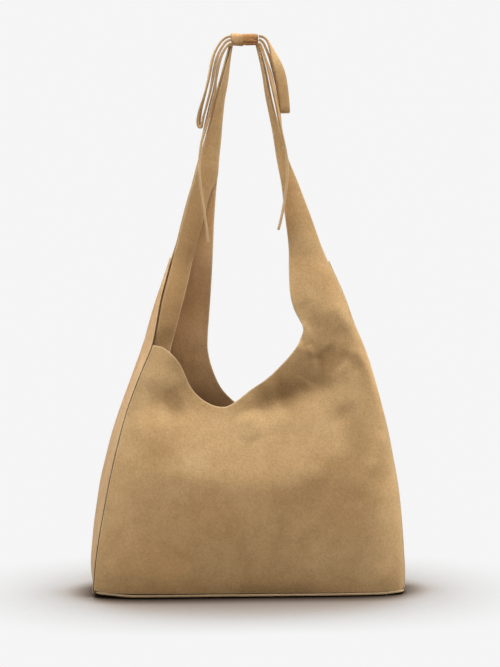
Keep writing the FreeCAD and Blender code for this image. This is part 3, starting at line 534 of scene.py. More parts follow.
def suede(name, light, mid, dark, sheen=0.35, bump=1.0, low_painted_shade=0.0,
          edge=(0.86, 0.72, 0.50, 1), edge_width=0.9, edge_mix=0.45,
          high_edge_shade=None, right_shade=None, low_shade=None):
    """Brushed suede. It reads the position "rp", the edge distance "ed" in millimetres and
    the painted light-and-shade tone "tn". high_edge_shade, right_shade and low_shade are (from,
    to, colour)."""
    material, graph, shader = new_material(name)
    place = graph.attribute("rp", "Vector")
    cloud = graph.noise(place, 11.0, detail=4.0, distort=0.6)
    nap = graph.noise(place, 46.0, rough=0.6, distort=0.3)
    spot = graph.noise(place, 330.0, rough=0.7)
    grain = graph.noise(place, 1150.0, detail=2.0, rough=0.75)
    fibre = graph.noise(place, 900.0, detail=2.0, rough=0.7, distort=0.4,
                        stretch=(1.0, 1.0, 0.35))

    def along(axis):
        return graph.node("SeparateXYZ", {0: place}).outputs[axis]

    colour = graph.ramp(cloud, [(0.30, dark), (0.50, mid), (0.70, light)])
    # source, share of the mix, stops
    for source, share, stops in (
            (nap, 0.55, [(0.30, (0.86, 0.84, 0.80)), (0.52, WHITE), (0.72, (1.10, 1.11, 1.13))]),
            (spot, 0.60, [(0.30, (0.84, 0.81, 0.76)), (0.50, WHITE), (0.70, (1.13, 1.14, 1.16))]),
            (grain, 0.62, [(0.28, (0.70, 0.66, 0.60)), (0.52, WHITE),
                           (0.74, (1.26, 1.27, 1.30))])):
        colour = graph.mix(share, colour, graph.ramp(source, stops), "MULTIPLY")
    # painted shade: the lower body is a touch darker, standing in for the top light falling off
    # toward the base
    if low_painted_shade:
        low = graph.remap(along(2), 0.0, 0.26, 1.0, 0.0)
        colour = graph.mix(graph.math("MULTIPLY", low, low_painted_shade), colour,
                           (0.70, 0.60, 0.50, 1), "MULTIPLY")
    # cut and rubbed edges take their own colour, with a ragged border; on the facing the wide
    # light band is a painted highlight, and on the ties the dark edges are partly painted shade
    near = graph.remap(graph.attribute("ed", "Fac"), 0.0, edge_width, 1.0, 0.0)
    ragged = graph.remap(graph.noise(place, 420.0, detail=2.0, rough=0.6), 0.3, 0.7, 0.55, 1.0)
    # painted shade: edges darken with height toward the knot
    if high_edge_shade:
        start, end, tint = high_edge_shade
        edge = graph.mix(graph.remap(along(2), start, end, 0.0, 1.0), edge, tint)
    share = graph.math("MULTIPLY", graph.math("MULTIPLY", near, ragged), edge_mix)
    colour = graph.mix(share, colour, edge)
    if right_shade:
        start, end, tint = right_shade
        colour = graph.mix(graph.remap(along(0), start, end, 0.0, 1.0), colour, tint,
                           "MULTIPLY")
    # painted light and shade from the tone: the darkest painted shade and the lightest painted
    # highlight
    tone = graph.attribute("tn", "Fac")
    for limit, tint in ((0.5, (0.53, 0.48, 0.43, 1)), (1.4, (1.38, 1.40, 1.42, 1))):
        colour = graph.mix(graph.remap(tone, 1.0, limit, 0.0, 1.0), colour, tint, "MULTIPLY")
    # painted shade: darker toward the bottom
    if low_shade:
        start, end, tint = low_shade
        colour = graph.mix(graph.remap(along(2), start, end, 1.0, 0.0), colour, tint,
                           "MULTIPLY")
    height = graph.math("ADD", graph.math("MULTIPLY", grain, 0.55),
                        graph.math("MULTIPLY", fibre, 0.45))
    pile = graph.bump(height, strength=0.55 * bump, distance=0.0005)
    graph.fill(shader, {
        "Base Color": colour, "Roughness": 0.92, "Specular IOR Level": 0.12,
        "Sheen Weight": sheen, "Sheen Roughness": 0.42, "Sheen Tint": (0.98, 0.86, 0.66, 1),
        "Normal": graph.bump(spot, strength=0.35 * bump, distance=0.0012, Normal=pile)})
    return material


def cloth(name, light, dark, threads=437.5):
    """Woven cloth; threads is the scale of its two crossing waves."""
    material, graph, shader = new_material(name)
    place = graph.attribute("rp", "Vector")
    waves = [graph.node("TexWave", {"Vector": place, "Scale": threads, "Distortion": 0.6},
                        wave_type="BANDS", bands_direction=axis).outputs["Fac"]
             for axis in "XZ"]
    weave = graph.math("MAXIMUM", *waves)
    colour = graph.mix(graph.noise(place, 30.0), light, dark)
    shade = graph.ramp(weave, [(0.0, (0.72, 0.70, 0.68)), (1.0, (1.08, 1.08, 1.08))])
    graph.fill(shader, {
        "Base Color": graph.mix(0.5, colour, shade, "MULTIPLY"), "Roughness": 0.85,
        "Sheen Weight": 0.15, "Normal": graph.bump(weave, strength=0.5, distance=0.0002)})
    return material


def hard(name, colour, metal, rough, scratch=0.12, bump=0.15):
    """Metal, plastic or board with fine streaks; scratch is the spread of roughness."""
    material, graph, shader = new_material(name)
    place = graph.node("TexCoord").outputs["Object"]
    patch = graph.noise(place, 60.0)
    streak = graph.noise(place, 1400.0, detail=2.0, rough=0.6, stretch=(1, 1, 0.08))
    darker = tuple(c * 0.86 for c in colour[:3]) + (1,)
    graph.fill(shader, {
        "Base Color": graph.mix(graph.remap(patch, 0.3, 0.7, 0.0, 1.0), darker, colour),
        "Metallic": metal,
        "Roughness": graph.remap(streak, 0.2, 0.8, rough - scratch, rough + scratch),
        "Normal": graph.bump(streak, strength=bump, distance=0.0001)})
    return material


BODY = dict(light=srgb(220, 184, 134), mid=srgb(213, 175, 125), dark=srgb(204, 164, 114))
suede_outer = suede("suede_outer", **BODY, low_painted_shade=0.22)
suede_inner = suede("suede_inner", light=srgb(230, 188, 140), mid=srgb(222, 178, 128),
                    dark=srgb(212, 168, 117), sheen=0.25, bump=1.2)
suede_cut = suede("suede_cut_edge", light=srgb(226, 197, 152), mid=srgb(218, 187, 141),
                  dark=srgb(205, 172, 126), sheen=0.5, edge_mix=0.1)
# tie edges: partly burnished edge colour, partly painted shade between the strands; above 0.53 m
# they darken further as painted shade near the knot
suede_tie = suede("suede_tie", light=srgb(222, 188, 140), mid=srgb(213, 177, 128),
                  dark=srgb(198, 160, 111), edge=(0.62, 0.47, 0.28, 1), edge_width=1.0,
                  edge_mix=0.6, high_edge_shade=(0.530, 0.575, srgb(150, 112, 74)))
suede_knot = suede("suede_knot", light=srgb(216, 176, 128), mid=srgb(208, 166, 118),
                   dark=srgb(190, 147, 100), sheen=0.3, edge=srgb(150, 108, 72), edge_mix=0.6,
                   right_shade=(-0.0150, -0.0075, (0.74, 0.60, 0.50, 1)))
# the facing's wide light edge band is a painted highlight where its turned edge catches light;
# low_shade darkens its lower part as painted shade
suede_facing = suede("suede_facing", **BODY, sheen=0.3, edge=(0.70, 0.50, 0.29, 1),
                     edge_width=4.2, edge_mix=0.6,
                     low_shade=(0.40, 0.52, (0.66, 0.60, 0.54, 1)))
# painted shadow: the dark seam strip stands partly for the shade in the seam groove
suede_seam = suede("suede_seam_shadow", light=srgb(120, 88, 58), mid=srgb(108, 78, 50),
                   dark=srgb(94, 66, 40), sheen=0.05, edge_mix=0.0)
lining = cloth("lining_twill", srgb(128, 100, 70), srgb(116, 90, 62))
tape = cloth("zip_tape_weave", srgb(110, 80, 52), srgb(98, 70, 45), threads=687.5)
thread = cloth("thread", srgb(190, 152, 104), srgb(178, 140, 94), threads=1250.0)
brass = hard("brushed_brass", srgb(206, 172, 108), metal=1.0, rough=0.32)
coil = hard("zip_coil_plastic", srgb(92, 66, 42), metal=0.0, rough=0.5)
board = hard("fibre_board", srgb(96, 84, 70), metal=0.0, rough=0.85, scratch=0.05, bump=0.5)
SKIN_MATERIALS = (suede_outer, suede_inner, suede_cut)


# ---------------------------------------------------------------- mesh tools
def new_object(name, verts, faces, materials, edge, tone=None, slots=None):
    """Makes a smooth mesh object with its position, edge distance and painted light-and-shade
    tone.
    """
    mesh = bpy.data.meshes.new(name)
    mesh.from_pydata([tuple(v) for v in np.asarray(verts) * MM], [], faces)
    mesh.validate()
    mesh.update()
    for polygon in mesh.polygons:
        polygon.use_smooth = True
    # validation may drop faces, and then the slots no longer match
    if slots is not None and len(slots) == len(mesh.polygons):
        mesh.polygons.foreach_set("material_index", np.asarray(slots, np.int32))
    place = mesh.attributes.new("rp", "FLOAT_VECTOR", "POINT")
    place.data.foreach_set("vector", (np.asarray(verts, np.float32) * MM).ravel())
    for key, values in (("ed", edge), ("tn", np.ones(len(verts)) if tone is None else tone)):
        attribute = mesh.attributes.new(key, "FLOAT", "POINT")
        attribute.data.foreach_set("value", np.asarray(values, np.float32))
    obj = bpy.data.objects.new(name, mesh)
    bpy.context.scene.collection.objects.link(obj)
    for material in materials:
        mesh.materials.append(material)
    return obj


def install(obj, slot, rider, *replaced):
    """Hides the pieces an object stands for and attaches it to the body it moves with. The slot
    argument is not used.
    """
    if replaced:
        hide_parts(*replaced)
    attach(obj, rider)


def unit(vectors):
    return vectors / np.maximum(np.linalg.norm(vectors, axis=1, keepdims=True), 1e-9)


def vertex_normals(points, tri):
    face = np.cross(points[tri[:, 1]] - points[tri[:, 0]], points[tri[:, 2]] - points[tri[:, 0]])
    normals = np.zeros_like(points)
    for k in range(3):
        np.add.at(normals, tri[:, k], face)
    return normals / np.maximum(np.linalg.norm(normals, axis=1, keepdims=True), 1e-12)


def triangulate(outline, spacing):
    """Boundary-fitted, counter-clockwise triangles inside a closed 2-D outline."""
    border = np.asarray(outline, float)
    low, high = border.min(0), border.max(0)
    row_height = spacing * math.sqrt(3) / 2
    grid = []
    for row in range(int((high[1] - low[1]) / row_height) + 2):
        v = low[1] + row * row_height
        crossings = []
        for (x0, y0), (x1, y1) in zip(border, np.roll(border, -1, 0)):
            if (y0 > v) != (y1 > v):
                crossings.append(x0 + (v - y0) / (y1 - y0) * (x1 - x0))
        crossings.sort()
        for start, end in zip(crossings[::2], crossings[1::2]):
            first = math.ceil((start - low[0]) / spacing)
            x = low[0] + (first + (0.5 if row % 2 else 0)) * spacing
            while x < end:
                if x > start:
                    grid.append((x, v))
                x += spacing
    grid = np.array(grid)

    # drop grid points too near the outline, looked up in square cells
    def cell_of(p):
        return int(p[0] // 8), int(p[1] // 8)

    cells = {}
    for p in border:
        cells.setdefault(cell_of(p), []).append(p)
    keep = np.ones(len(grid), bool)
    near = spacing * 0.62
    for i, p in enumerate(grid):
        ci, cj = cell_of(p)
        for di in (-1, 0, 1):
            for dj in (-1, 0, 1):
                for q in cells.get((ci + di, cj + dj), ()):
                    if (q[0] - p[0]) ** 2 + (q[1] - p[1]) ** 2 < near * near:
                        keep[i] = False
    points = [Vector(p) for p in border] + [Vector(p) for p in grid[keep]]
    found, _, faces = delaunay_2d_cdt(points, [], [list(range(len(border)))], 1, 1e-5)[:3]
    flat = np.array([tuple(q) for q in found])
    tri = np.array([t for t in faces if len(t) == 3])
    a = flat[tri[:, 1]] - flat[tri[:, 0]]
    b = flat[tri[:, 2]] - flat[tri[:, 0]]
    clockwise = (a[:, 0] * b[:, 1] - a[:, 1] * b[:, 0]) < 0
    tri[clockwise] = tri[clockwise][:, ::-1]
    return flat, tri


def boundary_loops(tri):
    edges = {}
    for t in tri:
        for k in range(3):
            edges[(t[k], t[(k + 1) % 3])] = True
    following = {a: b for (a, b) in edges if (b, a) not in edges}
    loops = []
    while following:
        first = next(iter(following))
        loop = [first]
        while True:
            b = following.pop(loop[-1])
            if b == first:
                break
            loop.append(b)
        loops.append(np.array(loop))
    return loops


def sheet(name, outline, lift, flip=False, thick=SKIN, spacing=SPACING,
          materials=SKIN_MATERIALS, rim=4, tone=None):
    """A closed sheet: outer face, inner face and a rounded cut edge of rim steps."""
    flat, tri = triangulate(outline, spacing)
    outer = lift(flat[:, 0], flat[:, 1])
    if flip:
        tri = tri[:, ::-1]
    normals = vertex_normals(outer, tri)
    loops = boundary_loops(tri)
    outward = np.zeros_like(outer)
    for loop in loops:
        p = outer[loop]
        tangent = unit(np.roll(p, -1, 0) - np.roll(p, 1, 0))
        outward[loop] = unit(np.cross(tangent, normals[loop]))
        outer[loop] -= outward[loop] * thick / 2
    border = np.vstack([flat[loop] for loop in loops])
    edge = np.full(len(outer), 99.0)
    block = 4000
    for i in range(0, len(flat), block):
        gaps = flat[i:i + block, None, :] - border[None, :, :]
        edge[i:i + block] = np.linalg.norm(gaps, axis=2).min(1)
    count = len(outer)
    inner = outer - normals * thick
    verts = [outer, inner]
    faces = [tuple(int(i) for i in t) for t in tri]
    faces += [tuple(int(i) + count for i in t[::-1]) for t in tri]
    slots = [0] * len(tri) + [1] * len(tri)
    outer_tone = np.ones(count) if tone is None else tone(flat[:, 0], flat[:, 1])
    edges, tones = [edge, edge], [outer_tone, np.ones(count)]
    base = 2 * count
    for loop in loops:
        size = len(loop)
        middle = (outer[loop] + inner[loop]) / 2
        rows = [loop]
        for k in range(1, rim):
            angle = math.pi * k / rim
            verts.append(middle + normals[loop] * (thick / 2 * math.cos(angle))
                         + outward[loop] * (thick / 2 * math.sin(angle)))
            edges.append(np.zeros(size))
            tones.append(outer_tone[loop])
            rows.append(range(base, base + size))
            base += size
        rows.append(loop + count)
        for a, b in zip(rows[:-1], rows[1:]):
            for i in range(size):
                j = (i + 1) % size
                faces.append((int(a[j]), int(a[i]), int(b[i]), int(b[j])))
                slots.append(2)
    return new_object(name, np.vstack(verts), faces, materials, np.concatenate(edges),
                      np.concatenate(tones), slots)


def signed_power(value, power):
    return math.copysign(abs(value) ** power, value)


def ribbon(name, frames, thick, material, lump=0.12, seed=0):
    """A closed flat ribbon from frames (centre, width direction, normal, half width)."""
    around = 22
    profile = []
    for k in range(around):
        angle = 2 * math.pi * k / around
        profile.append((signed_power(math.cos(angle), 0.30), signed_power(math.sin(angle), 0.62)))
    phases = np.random.default_rng(seed).uniform(0, 6.28, 6)
    verts, edge = [], []
    length = 0.0
    for i, (centre, across, normal, half) in enumerate(frames):
        if i:
            length += np.linalg.norm(centre - frames[i - 1][0])
        wobble = lump * (math.sin(length / 9 + phases[0])
                         + 0.6 * math.sin(length / 4.3 + phases[1]))
        for u, v in profile:
            rise = v * (thick / 2) * (1 - 0.1 * abs(u) ** 6) + wobble * 0.25
            verts.append(centre + across * (u * (half + 0.4 * wobble)) + normal * rise)
            edge.append(0.0 if abs(u) > 0.93 else (1 - abs(u)) * half)
    last = len(frames) - 1
    faces = []
    for i in range(last):
        a, b = i * around, (i + 1) * around
        for k in range(around):
            k2 = (k + 1) % around
            faces.append((a + k, a + k2, b + k2, b + k))
    faces.append(tuple(range(around))[::-1])
    faces.append(tuple(last * around + k for k in range(around)))
    verts = np.array(verts)
    # turn the faces outward
    a, b, c = verts[list(faces[0][:3])]
    if np.dot(np.cross(b - a, c - a), a + b + c - 3 * frames[0][0]) < 0:
        faces = [f[::-1] for f in faces]
    return new_object(name, verts, faces, (material,), edge)


def square_to(vector, tangent):
    return vector - tangent * np.dot(vector, tangent)


def path_frames(path, full_width, step=1.6):
    """Ribbon frames along a path of x, y, z, width share and turn in degrees.
    At 0 degrees the width lies along Y, at 90 along X."""
    p = np.asarray(path, float)
    length = path_lengths(p[:, :3])
    curves = [Curve(length, p[:, k], sigma=1.6 if k < 3 else 3.0, step=0.5) for k in range(5)]
    at = np.linspace(0, length[-1], int(length[-1] / step))
    q = np.stack([f(at) for f in curves], 1)
    q[0, :3], q[-1, :3] = p[0, :3], p[-1, :3]
    tangents = np.gradient(q[:, :3], axis=0)
    tangents /= np.linalg.norm(tangents, axis=1, keepdims=True)
    frames = []
    for point, tangent in zip(q, tangents):
        angle = math.radians(point[4])
        across = square_to(np.array([math.sin(angle), math.cos(angle), 0.0]), tangent)
        if frames and np.linalg.norm(across) < 0.25:
            across = square_to(frames[-1][1], tangent)
        across /= np.linalg.norm(across)
        frames.append((point[:3], across, np.cross(tangent, across),
                       full_width / 2 * point[3]))
    return frames


def join(*runs):
    """Chains runs of points into one closed outline without near repeats."""
    def repeats(p, q):
        return math.hypot(p[0] - q[0], p[1] - q[1])

    points = []
    for run in runs:
        for p in run:
            if not points or repeats(p, points[-1]) > 0.7:
                points.append((float(p[0]), float(p[1])))
    while repeats(points[0], points[-1]) < 0.7:
        points.pop()
    return points


def side_line(x_of, low, high, step=2.0):
    z = np.arange(low, high, step)
    return np.stack([x_of(z), z], 1)


def rectangle(half_width, low, high, step):
    corners = [(-half_width, low), (half_width, low), (half_width, high), (-half_width, high)]
    return join(*(resample([corners[i], corners[(i + 1) % 4]], step) for i in range(4)))


# ---------------------------------------------------------------- main panels
# shared stretch of the bottom edge, x and z on the front; the back mirrors it
BASE_LINE = table("""-189.4 8.6, -186 8.2, -174 7.2, -150 6.2, -90 5.7, 0 5.3, 90 4.9,
    160 4.6""")


def arm_inner_line(panel, heights):
    line = np.array([(np.interp(z, *panel.arm_inner), z) for z in heights])
    line[:, 0] = blur(line[:, 0], 3)
    return line


def front_skin():
    base = ([(left_front.x(9.0) + 0.1, 9.6)] + BASE_LINE
            + [(178, 4.9), (186.5, 6.4), (right_front.x(11) + 2.6, 11.6)])
    outline = join(resample(base, 1.8),
                   side_line(partial(free_edge, front_panel), 13.0, TOP_Z),
                   arm_inner_line(front_panel, np.arange(TOP_Z, ARM_Z, -2.0)),
                   resample(FRONT_MOUTH[::-1], 1.6, 2.2),
                   side_line(left_front.x, 9.0, 303.5)[::-1])
    skin = sheet("front_skin", outline, partial(lift_panel, front_panel), tone=painted_light_tone)
    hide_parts("front_panel", "right_strap_outer")
    return skin


def back_skin():
    base = ([(left_back.x(11) - 2.6, 11.6), (-191.5, 6.4), (-183, 4.9)]
            + [(-x, z) for x, z in BASE_LINE[::-1]] + [(right_back.x(9.0) - 0.1, 9.6)])
    outline = join(resample(base, 1.8),
                   side_line(right_back.x, 9.0, 303.5),
                   resample(BACK_MOUTH[::-1], 1.6, 2.2),
                   arm_inner_line(back_panel, np.arange(ARM_Z + 1, TOP_Z, 2.0)),
                   side_line(partial(free_edge, back_panel), 13.0, TOP_Z)[::-1])
    skin = sheet("back_skin", outline, partial(lift_panel, back_panel), flip=True,
                 tone=back_painted_light_tone)
    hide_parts("back_panel", "left_strap_outer")
    return skin


# ---------------------------------------------------------------- arm facings
# each facing closes an arm: the left one from the front, the right one from behind
FACING_BOTTOM = 262.0
Facing = namedtuple("Facing", "arm outer edge")


def make_facing(arm):
    above = [p for p in arm.inner if p[0] > 506]
    return Facing(
        arm,
        outer=curve_of([(z, -arm.side * x) for x, y, z in LEFT_FRONT] + arm.outer, SEAM_BLUR),
        edge=curve_of([(z, -arm.side * x) for x, z in LEFT_FACING_EDGE] + above, FACING_BLUR))


left_facing, right_facing = make_facing(left_arm), make_facing(right_arm)


def lift_facing(facing, x, z):
    """Shaped for the left arm; the right arm mirrors it through its own width."""
    inward = -facing.arm.side
    outer = facing.outer(z)
    width = np.maximum(inward * (facing.edge(z) - outer), 1)
    share = np.clip(inward * (x - outer) / width, 0, 1)
    left_x = x
    if facing is right_facing:
        left_outer = left_facing.outer(z)
        left_x = left_outer + share * (left_facing.edge(z) - left_outer)
    seam_y = left_front.y(np.minimum(z, ARM_Z))
    on_seam, on_arm = ease(300, 330, z), ease(395, 420, z)
    y = (seam_y + 4.2) * (1 - on_seam) + seam_y * on_seam
    y = y * (1 - on_arm) + layer_y(z) * on_arm
    bow = 2.2 * (1 - ease(400, 470, z)) + 0.4
    y = y - bow * np.sin(math.pi * share) * ease(290, 330, z)
    # turns in at the seam
    y = y + 1.6 * (1 - ease(380, 420, z)) * (1 - ease(0, 0.15, share)) * on_seam
    y = y + 0.5 * medium(left_x + 200, z) + 0.15 * fine(left_x, z + 60)
    return twist(facing.arm, x, inward * y, z)


def facing_skin(end, facing):
    inward = -facing.arm.side
    outer = np.array([(facing.outer(z) + inward * 1.6, z)
                      for z in np.arange(FACING_BOTTOM, TOP_Z, 2.0)])
    edge = np.array([(facing.edge(z), z) for z in np.arange(TOP_Z, FACING_BOTTOM, -2.0)])
    bottom = resample([edge[-1], (outer[0][0], FACING_BOTTOM)], 2.0)
    is_left = end == "left"
    outline = join(edge, bottom, outer) if is_left else join(outer, edge, bottom)
    skin = sheet(end + "_arm_facing_skin", outline, partial(lift_facing, facing),
                 flip=not is_left, materials=(suede_facing, suede_inner, suede_cut))
    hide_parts(end + "_arm_facing", end + "_strap_facing")
    return skin


# ---------------------------------------------------------------- gussets
# front seam, back seam, inward X direction
ENDS = {"left": (left_front, left_back, 1), "right": (right_front, right_back, -1)}


def lift_gusset(end, y, z):
    front, back, inward = ENDS[end]
    is_left = end == "left"
    t = np.clip((y - front.y(z)) / np.maximum(back.y(z) - front.y(z), 1.0), 0, 1)
    bell = 4 * t * (1 - t)
    swell = (3.2 if is_left else 1.2) * bell * ease(0, 40, z) * (1 - ease(330, 400, z))
    dent = (back_medium(y * 1.4 + (0 if is_left else 90), z * 0.8) * 0.9
            + back_wide(y, z + 40) * 0.8) * bell
    # soft centre fold higher up
    centre = (2.2 * np.exp(-((t - 0.5) / 0.10) ** 2) * ease(150, 230, z)
              * (1 - ease(350, 400, z)))
    tuck = 2.4 * ((t if is_left else 1 - t) ** 2) * body_share(z) + 0.6
    x = front.x(z) + (back.x(z) - front.x(z)) * t + inward * (tuck - swell + dent + centre)
    return np.stack([x, y, z], -1)


def gusset_skin(end, top_z):
    front, back, _ = ENDS[end]
    z = np.arange(5.0, top_z, 2.2)
    # the side under a panel's rolled edge is set in
    rolled = ROLL_RADIUS * (1 - math.cos(ROLL_LENGTH / ROLL_RADIUS)) * body_share(z)
    set_in = rolled - 4.0 * body_share(z)
    front_y, back_y = front.y(z) + 1.0, back.y(z) - 1.0
    if end == "left":
        back_y = back_y - set_in
    else:
        front_y = front_y + set_in
    a, b = np.stack([front_y, z], 1), np.stack([back_y, z], 1)
    top = [a[-1], b[-1]]
    if b[-1][0] - a[-1][0] > 2.5:
        top = resample(top, 1.6)
    outline = join(a, top, b[::-1], resample([b[0], a[0]], 2.2))
    skin = sheet(end + "_gusset_skin", outline, partial(lift_gusset, end),
                 flip=end == "right")
    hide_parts(end + "_gusset")
    return skin


def seam_cord(name, seam, shift_x, shift_y, top_z):
    """The turned seam allowance, a thin dark brown line between two skins; its dark colour is
    partly painted shadow in the seam groove.
    """
    z = np.arange(8.0, top_z, 2.5)
    points = np.stack([seam.x(z) + shift_x, seam.y(z) + shift_y, z], 1)
    tangents = np.gradient(points, axis=0)
    tangents /= np.linalg.norm(tangents, axis=1, keepdims=True)
    frames = []
    for point, tangent in zip(points, tangents):
        across = square_to(np.array([0, 1.0, 0]), tangent)
        across /= np.linalg.norm(across)
        frames.append((point, across, np.cross(tangent, across), 1.3))
    return ribbon(name, frames, thick=1.5, material=suede_seam, lump=0.05, seed=21)


skins = [front_skin(), back_skin(),
         facing_skin("left", left_facing), facing_skin("right", right_facing),
         gusset_skin("left", 408.0), gusset_skin("right", 404.0),
         seam_cord("seam_left_front", left_front, 0.1, 1.5, 404.0),
         seam_cord("seam_right_back", right_back, -0.1, -1.5, 402.0)]
for skin in skins:
    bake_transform(skin)


# ---------------------------------------------------------------- base
def base_side(panel, x):
    return panel_y(panel, x, np.full_like(x, 6.0))


def base_outline(inset):
    start, end = -188.6 + inset, 186.4 - inset
    corner = 7.0
    x = np.linspace(start, end, 150)

    def rounded(y):
        d = np.minimum(x - start, end - x)
        cut = 1 - np.sqrt(np.clip(1 - ((corner - d) / corner) ** 2, 0, 1))
        cut = np.where(d < corner, cut, 0)
        return np.stack([x, y - np.sign(y) * cut * corner], 1)

    front = rounded(base_side(front_panel, x) + inset)
    back = rounded(base_side(back_panel, x) - inset)
    return join(resample(front, 2.0), resample([front[-1], back[-1]], 2.5),
                resample(back[::-1], 2.0), resample([back[0], front[0]], 2.5))


def corner_rise(x, y):
    """Rise of the front corners: more at the left, less at the right."""
    return (ease(140, 192, -x) * ease(0, 45, -y) * 3.6
            + ease(160, 190, x) * ease(5, 40, -y) * 1.6)


def base_rise(x, y):
    """The base lies flat; its rim and corners lift a little."""
    near_x = np.clip(x, -188, 186)
    from_side = np.minimum(y - base_side(front_panel, near_x),
                           base_side(back_panel, near_x) - y)
    from_end = np.minimum(x + 188.4, 186.2 - x)
    rim = 1 - ease(0.5, 9.0, np.minimum(from_side, from_end))
    lean = 1 + 0.18 * np.clip(-x / 190, -1, 1) * np.sign(-y)
    return corner_rise(x, y) + corner_rise(-x, -y) + 2.0 * rim * lean


base_noise = Noise(26, 52)


def lift_base(height, ripple, x, y):
    z = height + ripple * base_noise(x, y) + base_rise(x, y)
    return np.stack([x, y, z], -1)


base = sheet("base_panel_skin", base_outline(0.2), partial(lift_base, 3.0, 0.0), thick=2.9,
             spacing=4.0, materials=(suede_outer,) * 3, rim=6)
install(base, "suede", "bag", "base_panel")
base_lining = sheet("base_lining_skin", base_outline(9.0), partial(lift_base, 6.4, 0.25),
                    thick=0.7, spacing=4.0, materials=(lining,) * 3, rim=2)
install(base_lining, "lining", "bag", "base_lining")


# ---------------------------------------------------------------- lining
def lining_skin(piece, outline, lift, flip):
    obj = sheet(piece + "_skin", outline, lift, flip=flip, thick=0.7, spacing=3.6,
                materials=(lining,) * 3, rim=2)
    install(obj, "lining", "bag", piece)


def panel_lining(piece, panel, seed, top):
    """Lining behind a main panel; top is the line of its upper edge, x and z."""
    inward = panel.arm.side
    bottom = 8.0
    z = np.arange(bottom, 226, 3.0)
    left = np.stack([panel.left.x(z) + 9, z], 1)
    right = np.stack([panel.right.x(z) - 9, z], 1)
    x = np.arange(left[-1][0] + 3, right[-1][0] - 2, 3.0)
    upper = np.stack([x, curve_of(table(top), 12)(x)], 1)
    noise = Noise(22, seed)

    def lift(x, z):
        y = panel_y(panel, x, z) + inward * (SKIN + 1.4)
        puff = 0.7 * np.abs(noise(x, z * 0.5)) * ease(0, 25, z - bottom)
        return np.stack([x, y + inward * puff, z], -1)

    outline = join(right, upper[::-1], left[::-1], resample([left[0], right[0]], 3.0))
    lining_skin(piece, outline, lift, flip=inward < 0)


def gusset_lining(end):
    front, back, inward = ENDS[end]
    z = np.arange(8.0, 224, 3.0)
    a = np.stack([front.y(z) + 5.6, z], 1)
    b = np.stack([back.y(z) - 5.6, z], 1)
    offset = np.array([inward * (SKIN + 1.6), 0, 0])
    outline = join(a, resample([a[-1], b[-1]], 3.0), b[::-1], resample([b[0], a[0]], 3.0))
    lining_skin(end + "_lining", outline, lambda y, z: lift_gusset(end, y, z) + offset,
                flip=end == "right")


panel_lining("front_lining", front_panel, seed=31, top="""-200 225, -150 225, -110 222,
    -70 215, -25 212, 20 215, 70 221, 120 225, 150 225, 200 225""")
panel_lining("back_lining", back_panel, seed=32, top="""-200 225, -150 225, -110 223,
    -50 215, -10 208, 30 205, 80 213, 120 221, 150 225, 200 225""")
gusset_lining("left")
gusset_lining("right")

# ---------------------------------------------------------------- zipped pocket
# a flat cloth bag and two woven tapes on the back lining, all sewn down
pocket_noise, tape_noise = Noise(26, 77), Noise(9, 13)


def lift_pocket(x, z):
    puff = ease(0, 22, 93 - np.abs(x)) * ease(0, 26, z - 68.0) * (1 - ease(128, 152, z))
    y = ZIP_Y + 0.95 - 2.2 * puff - 0.8 * np.abs(pocket_noise(x, z * 0.55)) * puff
    return np.stack([x, y, z], -1)


def zip_tape(name, low, high):
    """The tape ripples only away from its edge along the zip."""
    def lift(x, z):
        from_zip = z - low if name == "zip_tape_upper" else high - z
        y = ZIP_Y - 0.25 - 0.16 * tape_noise(x, z) * ease(1.5, 5.0, from_zip)
        return np.stack([x, y, z], -1)

    obj = sheet(name + "_skin", rectangle(90.8, low, high, 2.4), lift, thick=0.5,
                spacing=2.4, materials=(tape,) * 3, rim=2)
    install(obj, "tape", "bag", name)


def stitches(name, runs, length=2.5, pitch=3.7, radius=0.34, seed=4):
    """Rows of short stitches, each a small tapered bead of thread."""
    rings, sides = 5, 6
    random = np.random.default_rng(seed)
    verts, faces = [], []
    for run in runs:
        s = path_lengths(run)
        for at in np.arange(pitch / 2, s[-1], pitch):
            ahead = min(at + 0.5, s[-1])
            point = np.array([np.interp(at, s, run[:, k]) for k in range(3)])
            tangent = np.array([np.interp(ahead, s, run[:, k]) for k in range(3)]) - point
            tangent /= np.linalg.norm(tangent)
            a = np.cross(tangent, [0, 1.0, 0.0])
            a /= np.linalg.norm(a)
            b = np.cross(tangent, a)
            own = length * (1 + 0.08 * random.standard_normal())
            base = len(verts)
            for i in range(rings):
                u = -1 + 2 * i / (rings - 1)
                r = radius * (1 - 0.72 * u * u)
                for j in range(sides):
                    q = 2 * math.pi * j / sides
                    verts.append(point + tangent * u * own / 2
                                 + (a * math.cos(q) + b * math.sin(q)) * r)
            for i in range(rings - 1):
                c, d = base + i * sides, base + (i + 1) * sides
                for j in range(sides):
                    j2 = (j + 1) % sides
                    faces.append((c + j, c + j2, d + j2, d + j))
            faces.append(tuple(base + j for j in reversed(range(sides))))
            faces.append(tuple(base + (rings - 1) * sides + j for j in range(sides)))
    return new_object(name, np.array(verts), faces, (thread,), np.full(len(verts), 9.0))


def pocket_stitches():
    x = np.linspace(-88, 88, 60)
    runs = [np.stack([x, np.full(60, ZIP_Y - 0.35), np.full(60, z)], 1)
            for z in (177.8, 158.2)]
    down = np.linspace(156, 72, 30)
    ring = np.array([(-89.0, z) for z in down] + [(u, 72.0) for u in x]
                    + [(89.0, z) for z in down[::-1]])
    around = lift_pocket(ring[:, 0], ring[:, 1])
    around[:, 1] -= 0.05
    runs.append(around)
    install(stitches("pocket_stitches", runs), "lining", "bag")


pocket = sheet("pocket_bag_skin", rectangle(92, 69, 161.5, 3.5), lift_pocket, thick=2.6,
               spacing=3.4, materials=(lining,) * 3)
install(pocket, "lining", "bag", "pocket_bag")
zip_tape("zip_tape_upper", 170.75, 179.6)
zip_tape("zip_tape_lower", 156.4, 165.25)
pocket_stitches()

